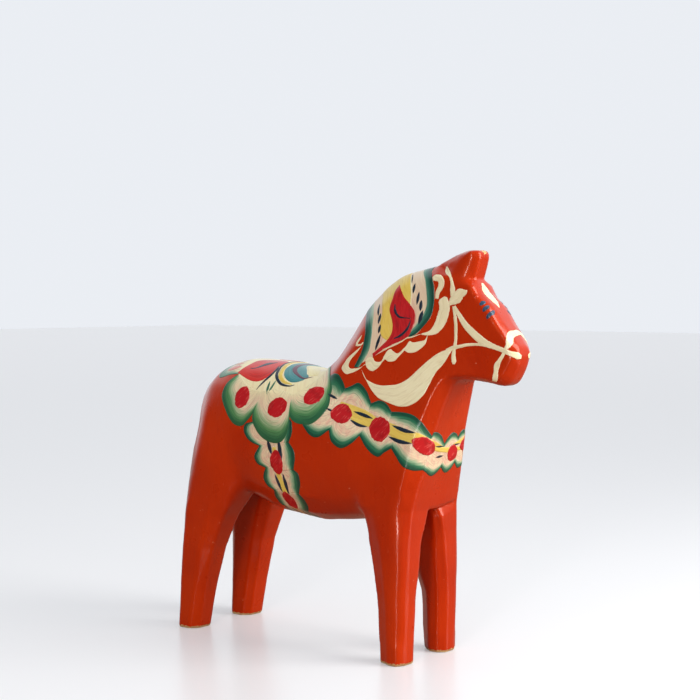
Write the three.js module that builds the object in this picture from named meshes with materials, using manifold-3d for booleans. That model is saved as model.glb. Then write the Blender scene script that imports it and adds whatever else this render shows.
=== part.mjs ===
// A painted wooden folk-art horse of the Dala kind, standing on four straight legs.
// Millimetres, +Z up, the horse faces +X and its left side is +Y. Z = 0 is the floor.
// It is one block of pine, sawn to its side view and carved with a knife, under a red
// ground coat, with brush-painted harness, saddle and mane laid over the coat.

import * as THREE from "three";
import { mergeVertices } from "three/addons/utils/BufferGeometryUtils.js";
import Module from "manifold-3d";

const wasm = await Module();
wasm.setup();

// ---- driving dimensions -------------------------------------------------------------
const FILM = 0.3; // thickness of a paint film, and of the clear gap between two films
const COAT_OUTSIDE = 0; // the red coat's outside is the size of the finished horse
const COAT_INSIDE = COAT_OUTSIDE - FILM;
const WOOD_OUTSIDE = COAT_INSIDE - FILM;
const MOTIF_INSIDE = COAT_OUTSIDE + FILM;
const MOTIF_OUTSIDE = MOTIF_INSIDE + FILM;
const BARE_SOLE = 0.6; // height of the unpainted edge round each foot
const FAR = 60; // further out sideways than any part of the horse

// ---- solids -------------------------------------------------------------------------
// A closed three.js geometry as a manifold-3d solid.
function solidOf(geometry) {
  const bare = geometry.index ? geometry.toNonIndexed() : geometry.clone();
  bare.deleteAttribute("normal");
  bare.deleteAttribute("uv");
  const merged = mergeVertices(bare, 1e-4);
  return new wasm.Manifold(
    new wasm.Mesh({
      numProp: 3,
      vertProperties: merged.attributes.position.array,
      triVerts: new Uint32Array(merged.index.array),
    }),
  );
}

// A solid back as a three.js geometry.
function geometryOf(solid) {
  const mesh = solid.getMesh();
  const geometry = new THREE.BufferGeometry();
  geometry.setAttribute("position", new THREE.BufferAttribute(mesh.vertProperties, 3));
  geometry.setIndex(new THREE.BufferAttribute(mesh.triVerts, 1));
  return geometry;
}

// Joins rings of equal count into a closed skin with a flat cap at each end.
function loft(rings) {
  const count = rings[0].length;
  const points = rings.flat();
  const faces = [];
  for (let r = 0; r + 1 < rings.length; r++) {
    for (let i = 0; i < count; i++) {
      const a = r * count + i;
      const b = r * count + ((i + 1) % count);
      faces.push(a, b, b + count, a, b + count, a + count);
    }
  }
  const last = (rings.length - 1) * count;
  for (let i = 1; i + 1 < count; i++) {
    faces.push(0, i + 1, i);
    faces.push(last, last + i, last + i + 1);
  }
  return solidFrom(points, faces);
}

// A closed solid from its corners and triangles, turned to face outwards.
function solidFrom(points, faces) {
  const geometry = new THREE.BufferGeometry();
  const coordinates = points.flatMap((p) => p.toArray());
  geometry.setAttribute("position", new THREE.Float32BufferAttribute(coordinates, 3));
  geometry.setIndex(faces);
  const solid = solidOf(geometry);
  if (solid.volume() >= 0) {
    return solid;
  }
  for (let i = 0; i < faces.length; i += 3) {
    [faces[i + 1], faces[i + 2]] = [faces[i + 2], faces[i + 1]];
  }
  geometry.setIndex(faces);
  return solidOf(geometry);
}

function mirrored(points) {
  return points.map((p) => new THREE.Vector3(p.x, -p.y, p.z));
}

// ---- trunk: rounded rings along X ---------------------------------------------------
// Each station: x, underside z, back z, half width. Its section is a superellipse.
const TRUNK_STATIONS = [
  [-70, 90, 122, 9],
  [-64, 83, 133, 20],
  [-54, 78, 141.6, 26],
  [-38, 74, 145.4, 28.5],
  [-14, 66.2, 144.4, 28.5],
  [14, 63.4, 139.5, 27.6],
  [30, 64.4, 134, 26.6],
  [44, 66.4, 128, 25.6],
  [60, 71, 116, 24],
  [72, 79, 100, 18],
];
const TRUNK_SIDES = 16;
const TRUNK_POWER = 2.6;

function trunk(grow) {
  const ends = [TRUNK_STATIONS[0], TRUNK_STATIONS.at(-1)];
  const rings = TRUNK_STATIONS.map((station) => {
    const [x, low, high, half] = station;
    const shift = station === ends[0] ? -grow : station === ends[1] ? grow : 0;
    const ring = [];
    for (let i = 0; i < TRUNK_SIDES; i++) {
      const turn = ((i + 0.5) / TRUNK_SIDES) * 2 * Math.PI;
      const c = Math.cos(turn);
      const s = Math.sin(turn);
      const y = Math.sign(c) * Math.abs(c) ** (2 / TRUNK_POWER) * (half + grow);
      const z = Math.sign(s) * Math.abs(s) ** (2 / TRUNK_POWER) * ((high - low) / 2 + grow);
      ring.push(new THREE.Vector3(x + shift, y, (low + high) / 2 + z));
    }
    return ring;
  });
  return loft(rings);
}

// ---- legs: cut-cornered rings up Z --------------------------------------------------
// Each station: z, rear x, front x, inner y, outer y, then the size of the knife cut at
// the rear-outer, front-outer, front-inner and rear-inner corners as [along x, along y].
const FRONT_LEG = [
  [0, 59.6, 74.4, 10.4, 25.2, [7, 3.4], [2.5, 4.5], [3.5, 4], [6.5, 5]],
  [30, 58, 75.4, 9.6, 25.6, [8, 3.8], [3, 5], [3.8, 4.2], [7, 5]],
  [58, 52.4, 76.3, 6.8, 25.8, [10, 4.5], [4, 5.6], [4, 3], [7, 3]],
  [74, 46, 76.9, 3, 25, [12, 5], [6, 6], [4, 2], [8, 2]],
  [92, 42, 73, 3, 19, [12, 5], [6, 6], [4, 1], [8, 1]],
];
const HIND_LEG = [
  [0, -75.4, -59.8, 12.8, 28.8, [4, 4.6], [4, 4], [4, 3.6], [4, 4]],
  [20, -74.3, -55.8, 12.4, 29.1, [4.5, 5], [4.5, 4], [4.5, 3.6], [4, 4]],
  [44, -72.9, -49.6, 11, 29.2, [5, 5.4], [6, 4], [5, 3.4], [5, 4]],
  [62, -71.6, -42, 9, 29.2, [6, 6], [8, 4], [6, 3], [6, 3]],
  [78, -70, -32, 5, 29, [7, 6.6], [10, 4], [8, 2], [6, 2]],
  [98, -67, -28, 1, 28.6, [9, 7], [12, 4], [8, 1], [6, 1]],
  [120, -62.8, -30, 1, 26, [9, 6], [12, 5], [8, 1], [6, 1]],
];

function leg(stations, side, grow) {
  const rings = stations.map((station, index) => {
    const [z, x0, x1, y0, y1, rearOuter, frontOuter, frontInner, rearInner] = station;
    const lift = index === stations.length - 1 ? grow : 0;
    const ring = [
      [x0 - grow, y1 - rearOuter[1] + grow / 2],
      [x0 + rearOuter[0] - grow / 2, y1 + grow],
      [x1 - frontOuter[0] + grow / 2, y1 + grow],
      [x1 + grow, y1 - frontOuter[1] + grow / 2],
      [x1 + grow, y0 + frontInner[1] - grow / 2],
      [x1 - frontInner[0] + grow / 2, y0 - grow],
      [x0 + rearInner[0] - grow / 2, y0 - grow],
      [x0 - grow, y0 + rearInner[1] - grow / 2],
    ];
    return ring.map(([x, y]) => new THREE.Vector3(x, side * y, z + lift));
  });
  return loft(rings);
}

// ---- neck and head: cut-cornered rings that fan from the breast round to the muzzle ---
// Each station is a slice between a front and a back point of the side view. A point is
// x, z, half width of its edge strip, half width of the side plane beside it, and how far
// the knife cut between them reaches along the slice.
const NECK_STATIONS = [
  { front: [76.9, 74, 19, 25, 6], back: [44, 74, 19, 25, 5] },
  { front: [79.1, 84, 18, 24.8, 6], back: [38, 92, 17, 24.6, 5] },
  { front: [82.3, 95, 15.4, 23.8, 6], back: [26, 108, 13, 23.6, 6] },
  { front: [85.8, 112, 13.2, 21.2, 5.5], back: [14, 128, 6, 19, 14] },
  { front: [90.5, 127, 11, 18, 5], back: [10, 139.6, 5, 16.5, 14] },
  { front: [93.8, 136.6, 9.2, 14.6, 4.5], back: [19.5, 147.4, 4.2, 16, 12] },
  { front: [96, 138.6, 7.6, 13.4, 4], back: [28, 159.6, 3.4, 15.4, 12] },
  { front: [99.5, 139.2, 6.8, 12.4, 3.6], back: [38.3, 173.4, 3.2, 14, 12] },
  { front: [104, 138.6, 6.2, 11.5, 3.4], back: [49, 183.1, 3.2, 12.5, 11] },
  { front: [108, 138.2, 5.8, 10.8, 3.2], back: [58.5, 189, 3.2, 11.4, 9] },
  { front: [111, 137.8, 5.6, 10.3, 3.2], back: [69, 191.1, 3.2, 10.6, 8] },
  { front: [114, 137.2, 5.2, 9.9, 3.2], back: [81.5, 193.6, 3.6, 10, 6] },
  { front: [117, 136.4, 4.8, 9.5, 3.2], back: [95, 190, 4, 9.8, 4] },
  { front: [119.6, 136.2, 4.4, 9.2, 3.4], back: [102.8, 186, 4.2, 9.6, 3.4] },
  { front: [121.6, 137, 4.2, 8.9, 3.6], back: [106.1, 180.2, 4.6, 9.6, 3.2] },
  { front: [123.2, 138.5, 4, 8.6, 4], back: [112.2, 174.7, 5.6, 9.5, 3] },
  { front: [125.4, 142.2, 3.8, 8.4, 4.4], back: [117.4, 166.9, 4.3, 9.2, 3.6] },
  { front: [126.8, 145.2, 3.7, 7.8, 4], back: [122.1, 160.9, 3.8, 8.7, 3.6] },
  { front: [128.2, 149.6, 3.6, 5.4, 1.6], back: [127.4, 155, 3.4, 5.4, 1.6] },
];

function neckAndHead(grow) {
  const rings = NECK_STATIONS.map(({ front, back }) => {
    const frontPoint = new THREE.Vector2(front[0], front[1]);
    const backPoint = new THREE.Vector2(back[0], back[1]);
    const along = backPoint.clone().sub(frontPoint).normalize();
    const corner = ([x, z, edge, side, cut], reach, half) => {
      const p = new THREE.Vector2(x, z).addScaledVector(along, reach);
      return new THREE.Vector3(p.x, half, p.y);
    };
    const half = [
      corner(front, -grow, -front[2] - grow / 2),
      corner(front, front[4] - grow / 2, -front[3] - grow),
      corner(back, -back[4] + grow / 2, -back[3] - grow),
      corner(back, grow, -back[2] - grow / 2),
    ];
    return [...half, ...mirrored(half).reverse()];
  });
  for (const [end, way] of [[rings[0], -1], [rings.at(-1), 1]]) {
    const outward = way < 0 ? new THREE.Vector3(0, 0, -grow) : new THREE.Vector3(grow, 0, 0);
    end.forEach((p) => p.add(outward));
  }
  return loft(rings);
}

// ---- ears: one pointed block, its two tips parted by a shallow nick --------------------
// Each level: height, rear and front x, half width, half width of the front facet, and the
// size of the knife cut beside that facet.
const EAR_STATIONS = [
  { z: 182, rear: 84, front: 102, half: 8.4, edge: 4.2, cut: 3.6 },
  { z: 186.5, rear: 83, front: 102.9, half: 8.4, edge: 4.2, cut: 3.8 },
  { z: 193.6, rear: 82.4, front: 105, half: 8.4, edge: 4.2, cut: 4.4 },
  { z: 197.4, rear: 91, front: 105.8, half: 8.2, edge: 4, cut: 4 },
  { z: 200, rear: 97.6, front: 105, half: 6.6, edge: 3.8, cut: 2.6 },
];
const EAR_REAR_TAPER = 0.55; // share of an ear's length that narrows towards the poll
const EAR_REAR_EDGE = 0.6; // how much narrower the rear edge is than the front facet
const NICK_HALF_WIDTH = 3.4;
const NICK_SLICES = [
  [81, 194.3],
  [91, 194.8],
  [104, 200.4],
]; // x and height of the bottom of the V

function ears(grow) {
  const rings = EAR_STATIONS.map((station, index) => {
    const lift = index === EAR_STATIONS.length - 1 ? grow : 0;
    const { z, rear, front, half, edge, cut } = station;
    const taper = (front - rear) * EAR_REAR_TAPER;
    const side = [
      [front + grow, -edge - grow / 2],
      [front - cut + grow / 2, -half - grow],
      [rear + taper - grow / 2, -half - grow],
      [rear - grow, -edge + EAR_REAR_EDGE - grow / 2],
    ].map(([x, y]) => new THREE.Vector3(x, y, z + lift));
    return [...side, ...mirrored(side).reverse()];
  });
  return loft(rings).subtract(earNick(grow));
}

// A V-shaped nick along the top, deep at the poll and running out at the front edge.
function earNick(grow) {
  const wide = NICK_HALF_WIDTH - grow;
  const rings = NICK_SLICES.map(([x, bottom]) => [
    new THREE.Vector3(x, 0, bottom + grow),
    new THREE.Vector3(x, wide, bottom + 2 * NICK_HALF_WIDTH),
    new THREE.Vector3(x, -wide, bottom + 2 * NICK_HALF_WIDTH),
  ]);
  return loft(rings);
}

// ---- the whole carved form, grown evenly by a small distance -------------------------
function carved(grow) {
  let form = trunk(grow).add(neckAndHead(grow)).add(ears(grow));
  for (const side of [-1, 1]) {
    form = form.add(leg(FRONT_LEG, side, grow));
    form = form.add(leg(HIND_LEG, side, grow));
  }
  return form;
}

// The clear layer of one paint film over the whole form.
function film(inside, outside) {
  return carved(outside).subtract(carved(inside));
}

// ---- painted motifs, drawn on the side view as x, z ----------------------------------
const LOBE_STEPS = 5;

// A closed outline from [x, z, bulge] points. A bulge is how far the stretch that ends at
// the point swells to the right of its chord, as a rounded lobe; 0 or none is straight.
function lobed(points) {
  const path = new THREE.Path();
  const outline = [];
  points.forEach(([x, z, bulge = 0], i) => {
    const end = new THREE.Vector2(x, z);
    if (i === 0 || bulge === 0) {
      outline.push(end);
      return;
    }
    const start = new THREE.Vector2(points[i - 1][0], points[i - 1][1]);
    const out = new THREE.Vector2(end.y - start.y, start.x - end.x).setLength(bulge * (4 / 3));
    const lobe = new THREE.CubicBezierCurve(start, start.clone().add(out), end.clone().add(out), end);
    outline.push(...lobe.getPoints(LOBE_STEPS).slice(1));
  });
  return outline;
}

// A brush stroke along [x, z, half width] points, as a closed outline.
function stroke(points) {
  const line = points.map(([x, z]) => new THREE.Vector2(x, z));
  const left = [];
  const right = [];
  line.forEach((p, i) => {
    const before = line[Math.max(0, i - 1)];
    const after = line[Math.min(line.length - 1, i + 1)];
    const run = after.clone().sub(before).normalize();
    const across = new THREE.Vector2(-run.y, run.x).multiplyScalar(points[i][2]);
    left.push(p.clone().add(across));
    right.push(p.clone().sub(across));
  });
  return [...right, ...left.reverse()];
}

function prism(outline, fromY, toY) {
  const shape = new THREE.Shape(outline);
  const geometry = new THREE.ExtrudeGeometry(shape, { depth: toY - fromY, bevelEnabled: false });
  geometry.rotateX(Math.PI / 2);
  geometry.translate(0, toY, 0);
  return solidOf(geometry);
}

// The prism of an outline moved outwards all round; the outline runs anticlockwise.
function grownPrism(outline, distance) {
  const moved = outline.map((p, i) => {
    const before = p.clone().sub(outline.at(i - 1)).normalize();
    const after = outline[(i + 1) % outline.length].clone().sub(p).normalize();
    const out = new THREE.Vector2(before.y + after.y, -before.x - after.x).normalize();
    return p.clone().addScaledVector(out, distance);
  });
  return prism(moved, -FAR, FAR);
}

const SADDLE = lobed([
  [-53, 152],
  [-51, 140],
  [-46, 131, 1],
  [-19.4, 116, 10],
  [5.8, 117, 13],
  [26.5, 129, 8.5],
  [25.3, 138.7, 0.6],
  [17, 143],
  [14, 152],
]);
const BREAST_BAND = lobed([
  [10, 132],
  [14.2, 113.7],
  [29.9, 112.1, 4.5],
  [47.2, 110, 7.2],
  [66.8, 105.2, 7],
  [81.5, 95, 3],
  [97, 94],
  [97, 112],
  [84.8, 111.6],
  [65, 122.5, 5],
  [52, 126, 3.4],
  [34.5, 132.4, 5.6],
  [24.9, 138.7, 2.4],
]);
const GIRTH_BAND = lobed([
  [-20, 120],
  [-22, 114],
  [-14.3, 100.9, 5],
  [-9.6, 90.9, 4.6],
  [-7, 78.9, 4],
  [-8, 66, 2.6],
  [-8, 56],
  [12, 56],
  [11.5, 67],
  [9.6, 79.3, 2.4],
  [8.7, 92.2, 3.4],
  [6.2, 104.7, 2.6],
  [6.9, 120, 1],
]);
const MANE = lobed([
  [40, 143],
  [48, 149.6],
  [57, 152.8],
  [70.3, 157.7],
  [84, 175, 3],
  [79, 192, 0.6],
  [78, 204],
  [28, 204],
  [34, 176],
  [42.5, 165],
  [43.9, 156.6],
]);
const REIN_LEAF = lobed([
  [44.6, 141.8],
  [53.8, 131.2],
  [69.5, 126.6, 1],
  [81.6, 130.6, 2],
  [93, 148.6, -1.2],
  [92.6, 151.4],
  [77, 143, 0.6],
  [62.4, 135, -0.6],
]);

const BRIDLE_STROKES = {
  cheek_strap: [
    [95, 173.3, 0.8],
    [99.4, 166.4, 1.5],
    [105.8, 160.4, 1.6],
    [112, 156.4, 1.2],
    [122.4, 152.7, 1.1],
    [126.4, 150.4, 1.4],
  ],
  throat_latch: [
    [95, 173.3, 0.8],
    [95.4, 162, 0.9],
    [95.7, 153, 0.9],
    [95.7, 147.4, 1.3],
  ],
  noseband: [
    [124.6, 164.6, 1.3],
    [123.6, 157, 1.6],
    [122.4, 152.7, 1],
    [119.4, 148.6, 1.2],
    [117.6, 143, 1.4],
    [115.8, 132, 1.5],
  ],
  rein_tip: [
    [93.8, 151, 1.4],
    [101.6, 154.4, 1],
    [107, 155.2, 0.9],
    [114, 154.8, 0.9],
    [122.4, 152.7, 1],
  ],
};

// Cream strokes that lie on one side only, and so come in a right and a left copy.
const SIDE_STROKES = {
  mane_flourish: [
    [77, 156.4, 0.8],
    [74.6, 152.4, 1.5],
    [70, 153.2, 1.4],
    [65.4, 147.6, 1.5],
    [60.6, 149.6, 1.3],
    [55.4, 146, 1.5],
    [49.6, 143.4, 1],
  ],
  mane_hook: [
    [41, 152.6, 0.5],
    [37, 150.4, 1.1],
    [33.6, 146.8, 1.4],
    [32.2, 143.2, 1.4],
    [34, 140.2, 1.3],
    [38, 139.6, 0.6],
  ],
  ear_curl: [
    [83.8, 187.6, 0.8],
    [86.2, 188, 1.2],
    [88.6, 185.2, 1.4],
    [87.2, 181.4, 1.5],
    [86.4, 177.6, 0.8],
  ],
  ear_leaf: [
    [92, 176.2, 0.7],
    [94.8, 178, 2],
    [98.6, 179.9, 2],
    [101.2, 181, 0.8],
  ],
  ear_stem: [
    [92.9, 181.2, 0.8],
    [91.9, 184.4, 0.7],
    [90.6, 188, 0.9],
    [89.2, 191, 1.2],
    [88, 193, 0.5],
  ],
  cheek_comma: [
    [90, 174.2, 1.8],
    [89.6, 168.6, 2.5],
    [86, 164, 2.2],
    [81.6, 160.6, 1.1],
    [78.6, 159.4, 0.4],
  ],
};

// Three short blue-black strokes stand for each eye, from the nose's edge outwards.
const EYE_STROKES = {
  eye_stroke_upper: [
    [109.4, 173.6, 0.5],
    [111, 174.8, 0.5],
  ],
  eye_stroke_middle: [
    [111.4, 171.3, 0.5],
    [113.2, 172.6, 0.5],
  ],
  eye_stroke_lower: [
    [113.2, 168.4, 0.5],
    [115.3, 170, 0.5],
  ],
};
const NOSE_HALF_WIDTH = 6;

// The leaf down the forehead, drawn on the front view.
const LEAF_TOP = 184.6;
const LEAF_TIP = 172.2;
const LEAF_HALF_WIDTH = 2.4;
const LEAF_SHOULDER = 1.6; // half width a quarter of the way from either end
const LEAF_BACK = 98; // x behind the forehead's surface
const LEAF_DEPTH = 25;

// ---- colours --------------------------------------------------------------------------
const BARE_PINE = 0xd8b27c;
const GROUND_RED = 0xcc4418;
const SADDLE_GREEN = 0x5f9a5c;
const BAND_GREEN = 0x2f6a4a;
const GIRTH_GREEN = 0x1f5a40;
const MANE_YELLOW = 0xe0c35c;
const CREAM = 0xe2d2a6;
const EYE_BLUE = 0x3f5a70;
const WOOD_ROUGHNESS = 0.7;
const ENAMEL_ROUGHNESS = 0.32;

// ---- assembly -------------------------------------------------------------------------
const horse = new THREE.Group();

function addPiece(name, solid, colour, roughness = ENAMEL_ROUGHNESS) {
  const material = new THREE.MeshStandardMaterial({ color: colour, roughness, metalness: 0 });
  const mesh = new THREE.Mesh(geometryOf(solid), material);
  mesh.name = name;
  horse.add(mesh);
}

// The block below the bare edge of the feet, where the red coat stops short.
function soleBlock() {
  const depth = 10;
  const geometry = new THREE.BoxGeometry(4 * FAR, 2 * FAR, depth);
  geometry.translate(0, 0, BARE_SOLE - depth / 2);
  return solidOf(geometry);
}

function addWoodAndCoat() {
  addPiece("carved_pine_body", carved(WOOD_OUTSIDE), BARE_PINE, WOOD_ROUGHNESS);
  const coat = film(COAT_INSIDE, COAT_OUTSIDE).subtract(soleBlock());
  addPiece("red_ground_coat", coat, GROUND_RED);
}

// Motifs that run over the back, the chest, the belly or the nose in one piece.
function addWrappedMotifs(layer) {
  const wrapped = (outline) => layer.intersect(prism(outline, -FAR, FAR));
  const clearOfSaddle = grownPrism(SADDLE, FILM);
  addPiece("saddle_paint", wrapped(SADDLE), SADDLE_GREEN);
  addPiece("breast_band_paint", wrapped(BREAST_BAND).subtract(clearOfSaddle), BAND_GREEN);
  addPiece("girth_band_paint", wrapped(GIRTH_BAND).subtract(clearOfSaddle), GIRTH_GREEN);
  addPiece("mane_paint", wrapped(MANE), MANE_YELLOW);

  const straps = Object.values(BRIDLE_STROKES).map((points) => prism(stroke(points), -FAR, FAR));
  const bridle = straps.reduce((joined, strap) => joined.add(strap));
  addPiece("bridle_paint", layer.intersect(bridle), CREAM);
}

function addForeheadLeaf(layer) {
  const half = (LEAF_TOP - LEAF_TIP) / 2;
  const middle = LEAF_TIP + half;
  const rightSide = [
    [0, LEAF_TOP],
    [-LEAF_SHOULDER, middle + half / 2],
    [-LEAF_HALF_WIDTH, middle],
    [-LEAF_SHOULDER, middle - half / 2],
    [0, LEAF_TIP],
  ];
  const leftSide = rightSide.slice(1, -1).reverse();
  const outline = [...rightSide, ...leftSide.map(([y, z]) => [-y, z])];
  const shape = new THREE.Shape(outline.map(([y, z]) => new THREE.Vector2(y, z)));
  const geometry = new THREE.ExtrudeGeometry(shape, { depth: LEAF_DEPTH, bevelEnabled: false });
  geometry.rotateX(Math.PI / 2);
  geometry.rotateZ(Math.PI / 2);
  geometry.translate(LEAF_BACK, 0, 0);
  addPiece("forehead_leaf_paint", layer.intersect(solidOf(geometry)), CREAM);
}

function addSideMotifs(layer) {
  const sides = [
    ["right", -FAR, 0, -FAR, -NOSE_HALF_WIDTH],
    ["left", 0, FAR, NOSE_HALF_WIDTH, FAR],
  ];
  for (const [sideName, fromY, toY, eyeFromY, eyeToY] of sides) {
    const rein = layer.intersect(prism(REIN_LEAF, fromY, toY));
    addPiece("rein_leaf_paint_" + sideName, rein, CREAM);
    for (const [name, points] of Object.entries(SIDE_STROKES)) {
      const painted = layer.intersect(prism(stroke(points), fromY, toY));
      addPiece(name + "_paint_" + sideName, painted, CREAM);
    }
    for (const [name, points] of Object.entries(EYE_STROKES)) {
      const painted = layer.intersect(prism(stroke(points), eyeFromY, eyeToY));
      addPiece(name + "_paint_" + sideName, painted, EYE_BLUE);
    }
  }
}

addWoodAndCoat();
const motifLayer = film(MOTIF_INSIDE, MOTIF_OUTSIDE);
addWrappedMotifs(motifLayer);
addForeheadLeaf(motifLayer);
addSideMotifs(motifLayer);

// The origin is on the floor, below the middle of the horse's length.
const extent = new THREE.Box3().setFromObject(horse);
horse.position.x = -(extent.min.x + extent.max.x) / 2;

export default horse;
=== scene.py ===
"""A carved and painted wooden horse of the Dala kind, built around its CAD frame.

Metres, +Z up, the horse faces +X and its left side is +Y. The carving is one remeshed and
softened form; the red coat is a thin shell over it, and every brush stroke of the harness,
saddle and mane is a thin body of paint that lies on the coat.
"""

import math

import bmesh
import bpy
import numpy as np
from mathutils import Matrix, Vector, noise
from mathutils.bvhtree import BVHTree


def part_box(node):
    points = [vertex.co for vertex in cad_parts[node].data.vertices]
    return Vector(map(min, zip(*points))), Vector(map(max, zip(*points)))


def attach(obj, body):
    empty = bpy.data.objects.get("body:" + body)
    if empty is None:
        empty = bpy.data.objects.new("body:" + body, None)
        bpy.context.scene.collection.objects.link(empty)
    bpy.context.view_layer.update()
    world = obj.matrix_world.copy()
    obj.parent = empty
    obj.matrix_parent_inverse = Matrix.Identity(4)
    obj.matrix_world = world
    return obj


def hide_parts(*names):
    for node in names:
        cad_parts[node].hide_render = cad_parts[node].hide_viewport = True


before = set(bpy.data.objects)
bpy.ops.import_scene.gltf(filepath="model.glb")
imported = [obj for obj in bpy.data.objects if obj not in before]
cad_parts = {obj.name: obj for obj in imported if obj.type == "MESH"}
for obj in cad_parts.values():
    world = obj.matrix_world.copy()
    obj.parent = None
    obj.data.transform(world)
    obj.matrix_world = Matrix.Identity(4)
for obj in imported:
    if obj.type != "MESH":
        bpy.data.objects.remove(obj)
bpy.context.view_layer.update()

MM = 0.001
BODY = "root"
RIGHT = -1
LEFT = 1

# The stance's middle, from which all painted points are measured, in millimetres: the hind
# soles' rear edge lies HIND_REACH behind it.
HIND_REACH = 75.4
STANCE_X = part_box("red_ground_coat")[0].x + HIND_REACH * MM


def placed(x, y, z):
    """A point in stance millimetres, in the frame."""
    return Vector((STANCE_X + x * MM, y * MM, z * MM))


# ---- camera, light and floor ------------------------------------------------------------
CAMERA_PLACE = (488.3, -581.6, 178.1)
CAMERA_AZIMUTH = 38.62
CAMERA_DROP = 2.1
LENS = 50
SENSOR = 24
FLOOR_HALF = 6.0


def make_camera():
    data = bpy.data.cameras.new("camera")
    data.lens = LENS
    data.sensor_width = SENSOR
    data.clip_start = 0.01
    data.clip_end = 50
    camera = bpy.data.objects.new("camera", data)
    azimuth = math.radians(CAMERA_AZIMUTH)
    drop = math.radians(CAMERA_DROP)
    level = math.cos(drop)
    ahead = Vector((-math.sin(azimuth) * level, math.cos(azimuth) * level, -math.sin(drop)))
    camera.location = placed(*CAMERA_PLACE)
    camera.rotation_mode = "QUATERNION"
    camera.rotation_quaternion = ahead.to_track_quat("-Z", "Y")
    bpy.context.scene.collection.objects.link(camera)
    bpy.context.scene.camera = camera


def area_light(name, place, target, size, power, colour, glossy=True):
    data = bpy.data.lights.new(name, "AREA")
    data.shape = "RECTANGLE"
    data.size, data.size_y = size
    data.energy = power
    data.color = colour
    light = bpy.data.objects.new(name, data)
    light.location = placed(*place)
    toward = placed(*target) - light.location
    light.rotation_mode = "QUATERNION"
    light.rotation_quaternion = toward.to_track_quat("-Z", "Y")
    light.visible_glossy = glossy
    bpy.context.scene.collection.objects.link(light)


def make_floor():
    """A pale floor, whose bounce on to the horse is kept low so that the red stays deep."""
    bpy.ops.mesh.primitive_grid_add(size=2 * FLOOR_HALF, x_subdivisions=8, y_subdivisions=8)
    floor = bpy.context.object
    floor.name = "floor"
    nodes = Nodes("floor_pale")
    seen = nodes.add("ShaderNodeLightPath").outputs["Is Camera Ray"]
    colour = nodes.mix(seen, (0.3, 0.14, 0.08, 1), (0.6, 0.6, 0.61, 1))
    nodes.put(nodes.shader.inputs["Base Color"], colour)
    nodes.put(nodes.shader.inputs["Emission Color"], (1, 1, 1, 1))
    nodes.put(nodes.shader.inputs["Emission Strength"], nodes.maths("MULTIPLY", seen, 0.22))
    nodes.put(nodes.shader.inputs["Roughness"], 0.3)
    nodes.put(nodes.shader.inputs["Specular IOR Level"], 0.22)
    floor.data.materials.append(nodes.material)


BRIGHT_SIDE = Vector((0.86, 0.38, 0.34)).normalized()
WALL_BEHIND = Vector((-0.62, 0.78, 0.25)).normalized()


def make_room():
    """A pale room, bright in front of the horse. What the varnish mirrors is dimmer."""
    world = bpy.data.worlds.new("studio")
    world.use_nodes = True
    tree = world.node_tree
    background = tree.nodes["Background"]
    direction = tree.nodes.new("ShaderNodeTexCoord")
    seen = tree.nodes.new("ShaderNodeLightPath")

    def brightness(toward, dark, bright, start, end):
        facing = tree.nodes.new("ShaderNodeVectorMath")
        facing.operation = "DOT_PRODUCT"
        facing.inputs[1].default_value = toward
        tree.links.new(direction.outputs["Generated"], facing.inputs[0])
        ramp = tree.nodes.new("ShaderNodeMapRange")
        ramp.interpolation_type = "SMOOTHSTEP"
        ramp.inputs["From Min"].default_value = start
        ramp.inputs["From Max"].default_value = end
        ramp.inputs["To Min"].default_value = dark
        ramp.inputs["To Max"].default_value = bright
        tree.links.new(facing.outputs["Value"], ramp.inputs["Value"])
        return ramp.outputs["Result"]

    def choose(factor, a, b):
        mix = tree.nodes.new("ShaderNodeMix")
        mix.data_type = "FLOAT"
        for socket, value in ((mix.inputs["A"], a), (mix.inputs["B"], b)):
            if isinstance(value, float):
                socket.default_value = value
            else:
                tree.links.new(value, socket)
        tree.links.new(factor, mix.inputs["Factor"])
        return mix.outputs["Result"]

    mirrored = tree.nodes.new("ShaderNodeMath")
    mirrored.operation = "ADD"
    tree.links.new(brightness(BRIGHT_SIDE, 0.04, 0.2, 0.1, 0.95), mirrored.inputs[0])
    tree.links.new(brightness(WALL_BEHIND, 0.0, 0.95, 0.15, 0.8), mirrored.inputs[1])
    daylight = brightness(BRIGHT_SIDE, 0.44, 0.8, -0.5, 0.8)
    lit = choose(seen.outputs["Is Glossy Ray"], daylight, mirrored.outputs[0])
    shown = choose(seen.outputs["Is Camera Ray"], lit, 0.9)
    tree.links.new(shown, background.inputs["Strength"])
    background.inputs["Color"].default_value = (0.92, 0.95, 1.0, 1)
    bpy.context.scene.world = world
    bpy.context.scene.view_settings.view_transform = "Standard"


def make_lights():
    area_light("window", (640, 200, 380), (20, 0, 100), (0.45, 0.7), 6, (1.0, 0.98, 0.95))
    area_light("fill", (500, -800, 500), (0, 0, 90), (1.2, 1.2), 2.8, (1.0, 0.97, 0.93), glossy=False)
    area_light("strip", (487, -1205, 250), (40, 0, 100), (0.14, 0.8), 6, (1.0, 0.97, 0.95))


# ---- materials ----------------------------------------------------------------------------
def linear(text):
    """A colour written as red, green and blue in hexadecimal, as linear light."""
    values = [int(text[i : i + 2], 16) / 255 for i in (0, 2, 4)]
    return [v / 12.92 if v <= 0.04045 else ((v + 0.055) / 1.055) ** 2.4 for v in values] + [1.0]


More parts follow.
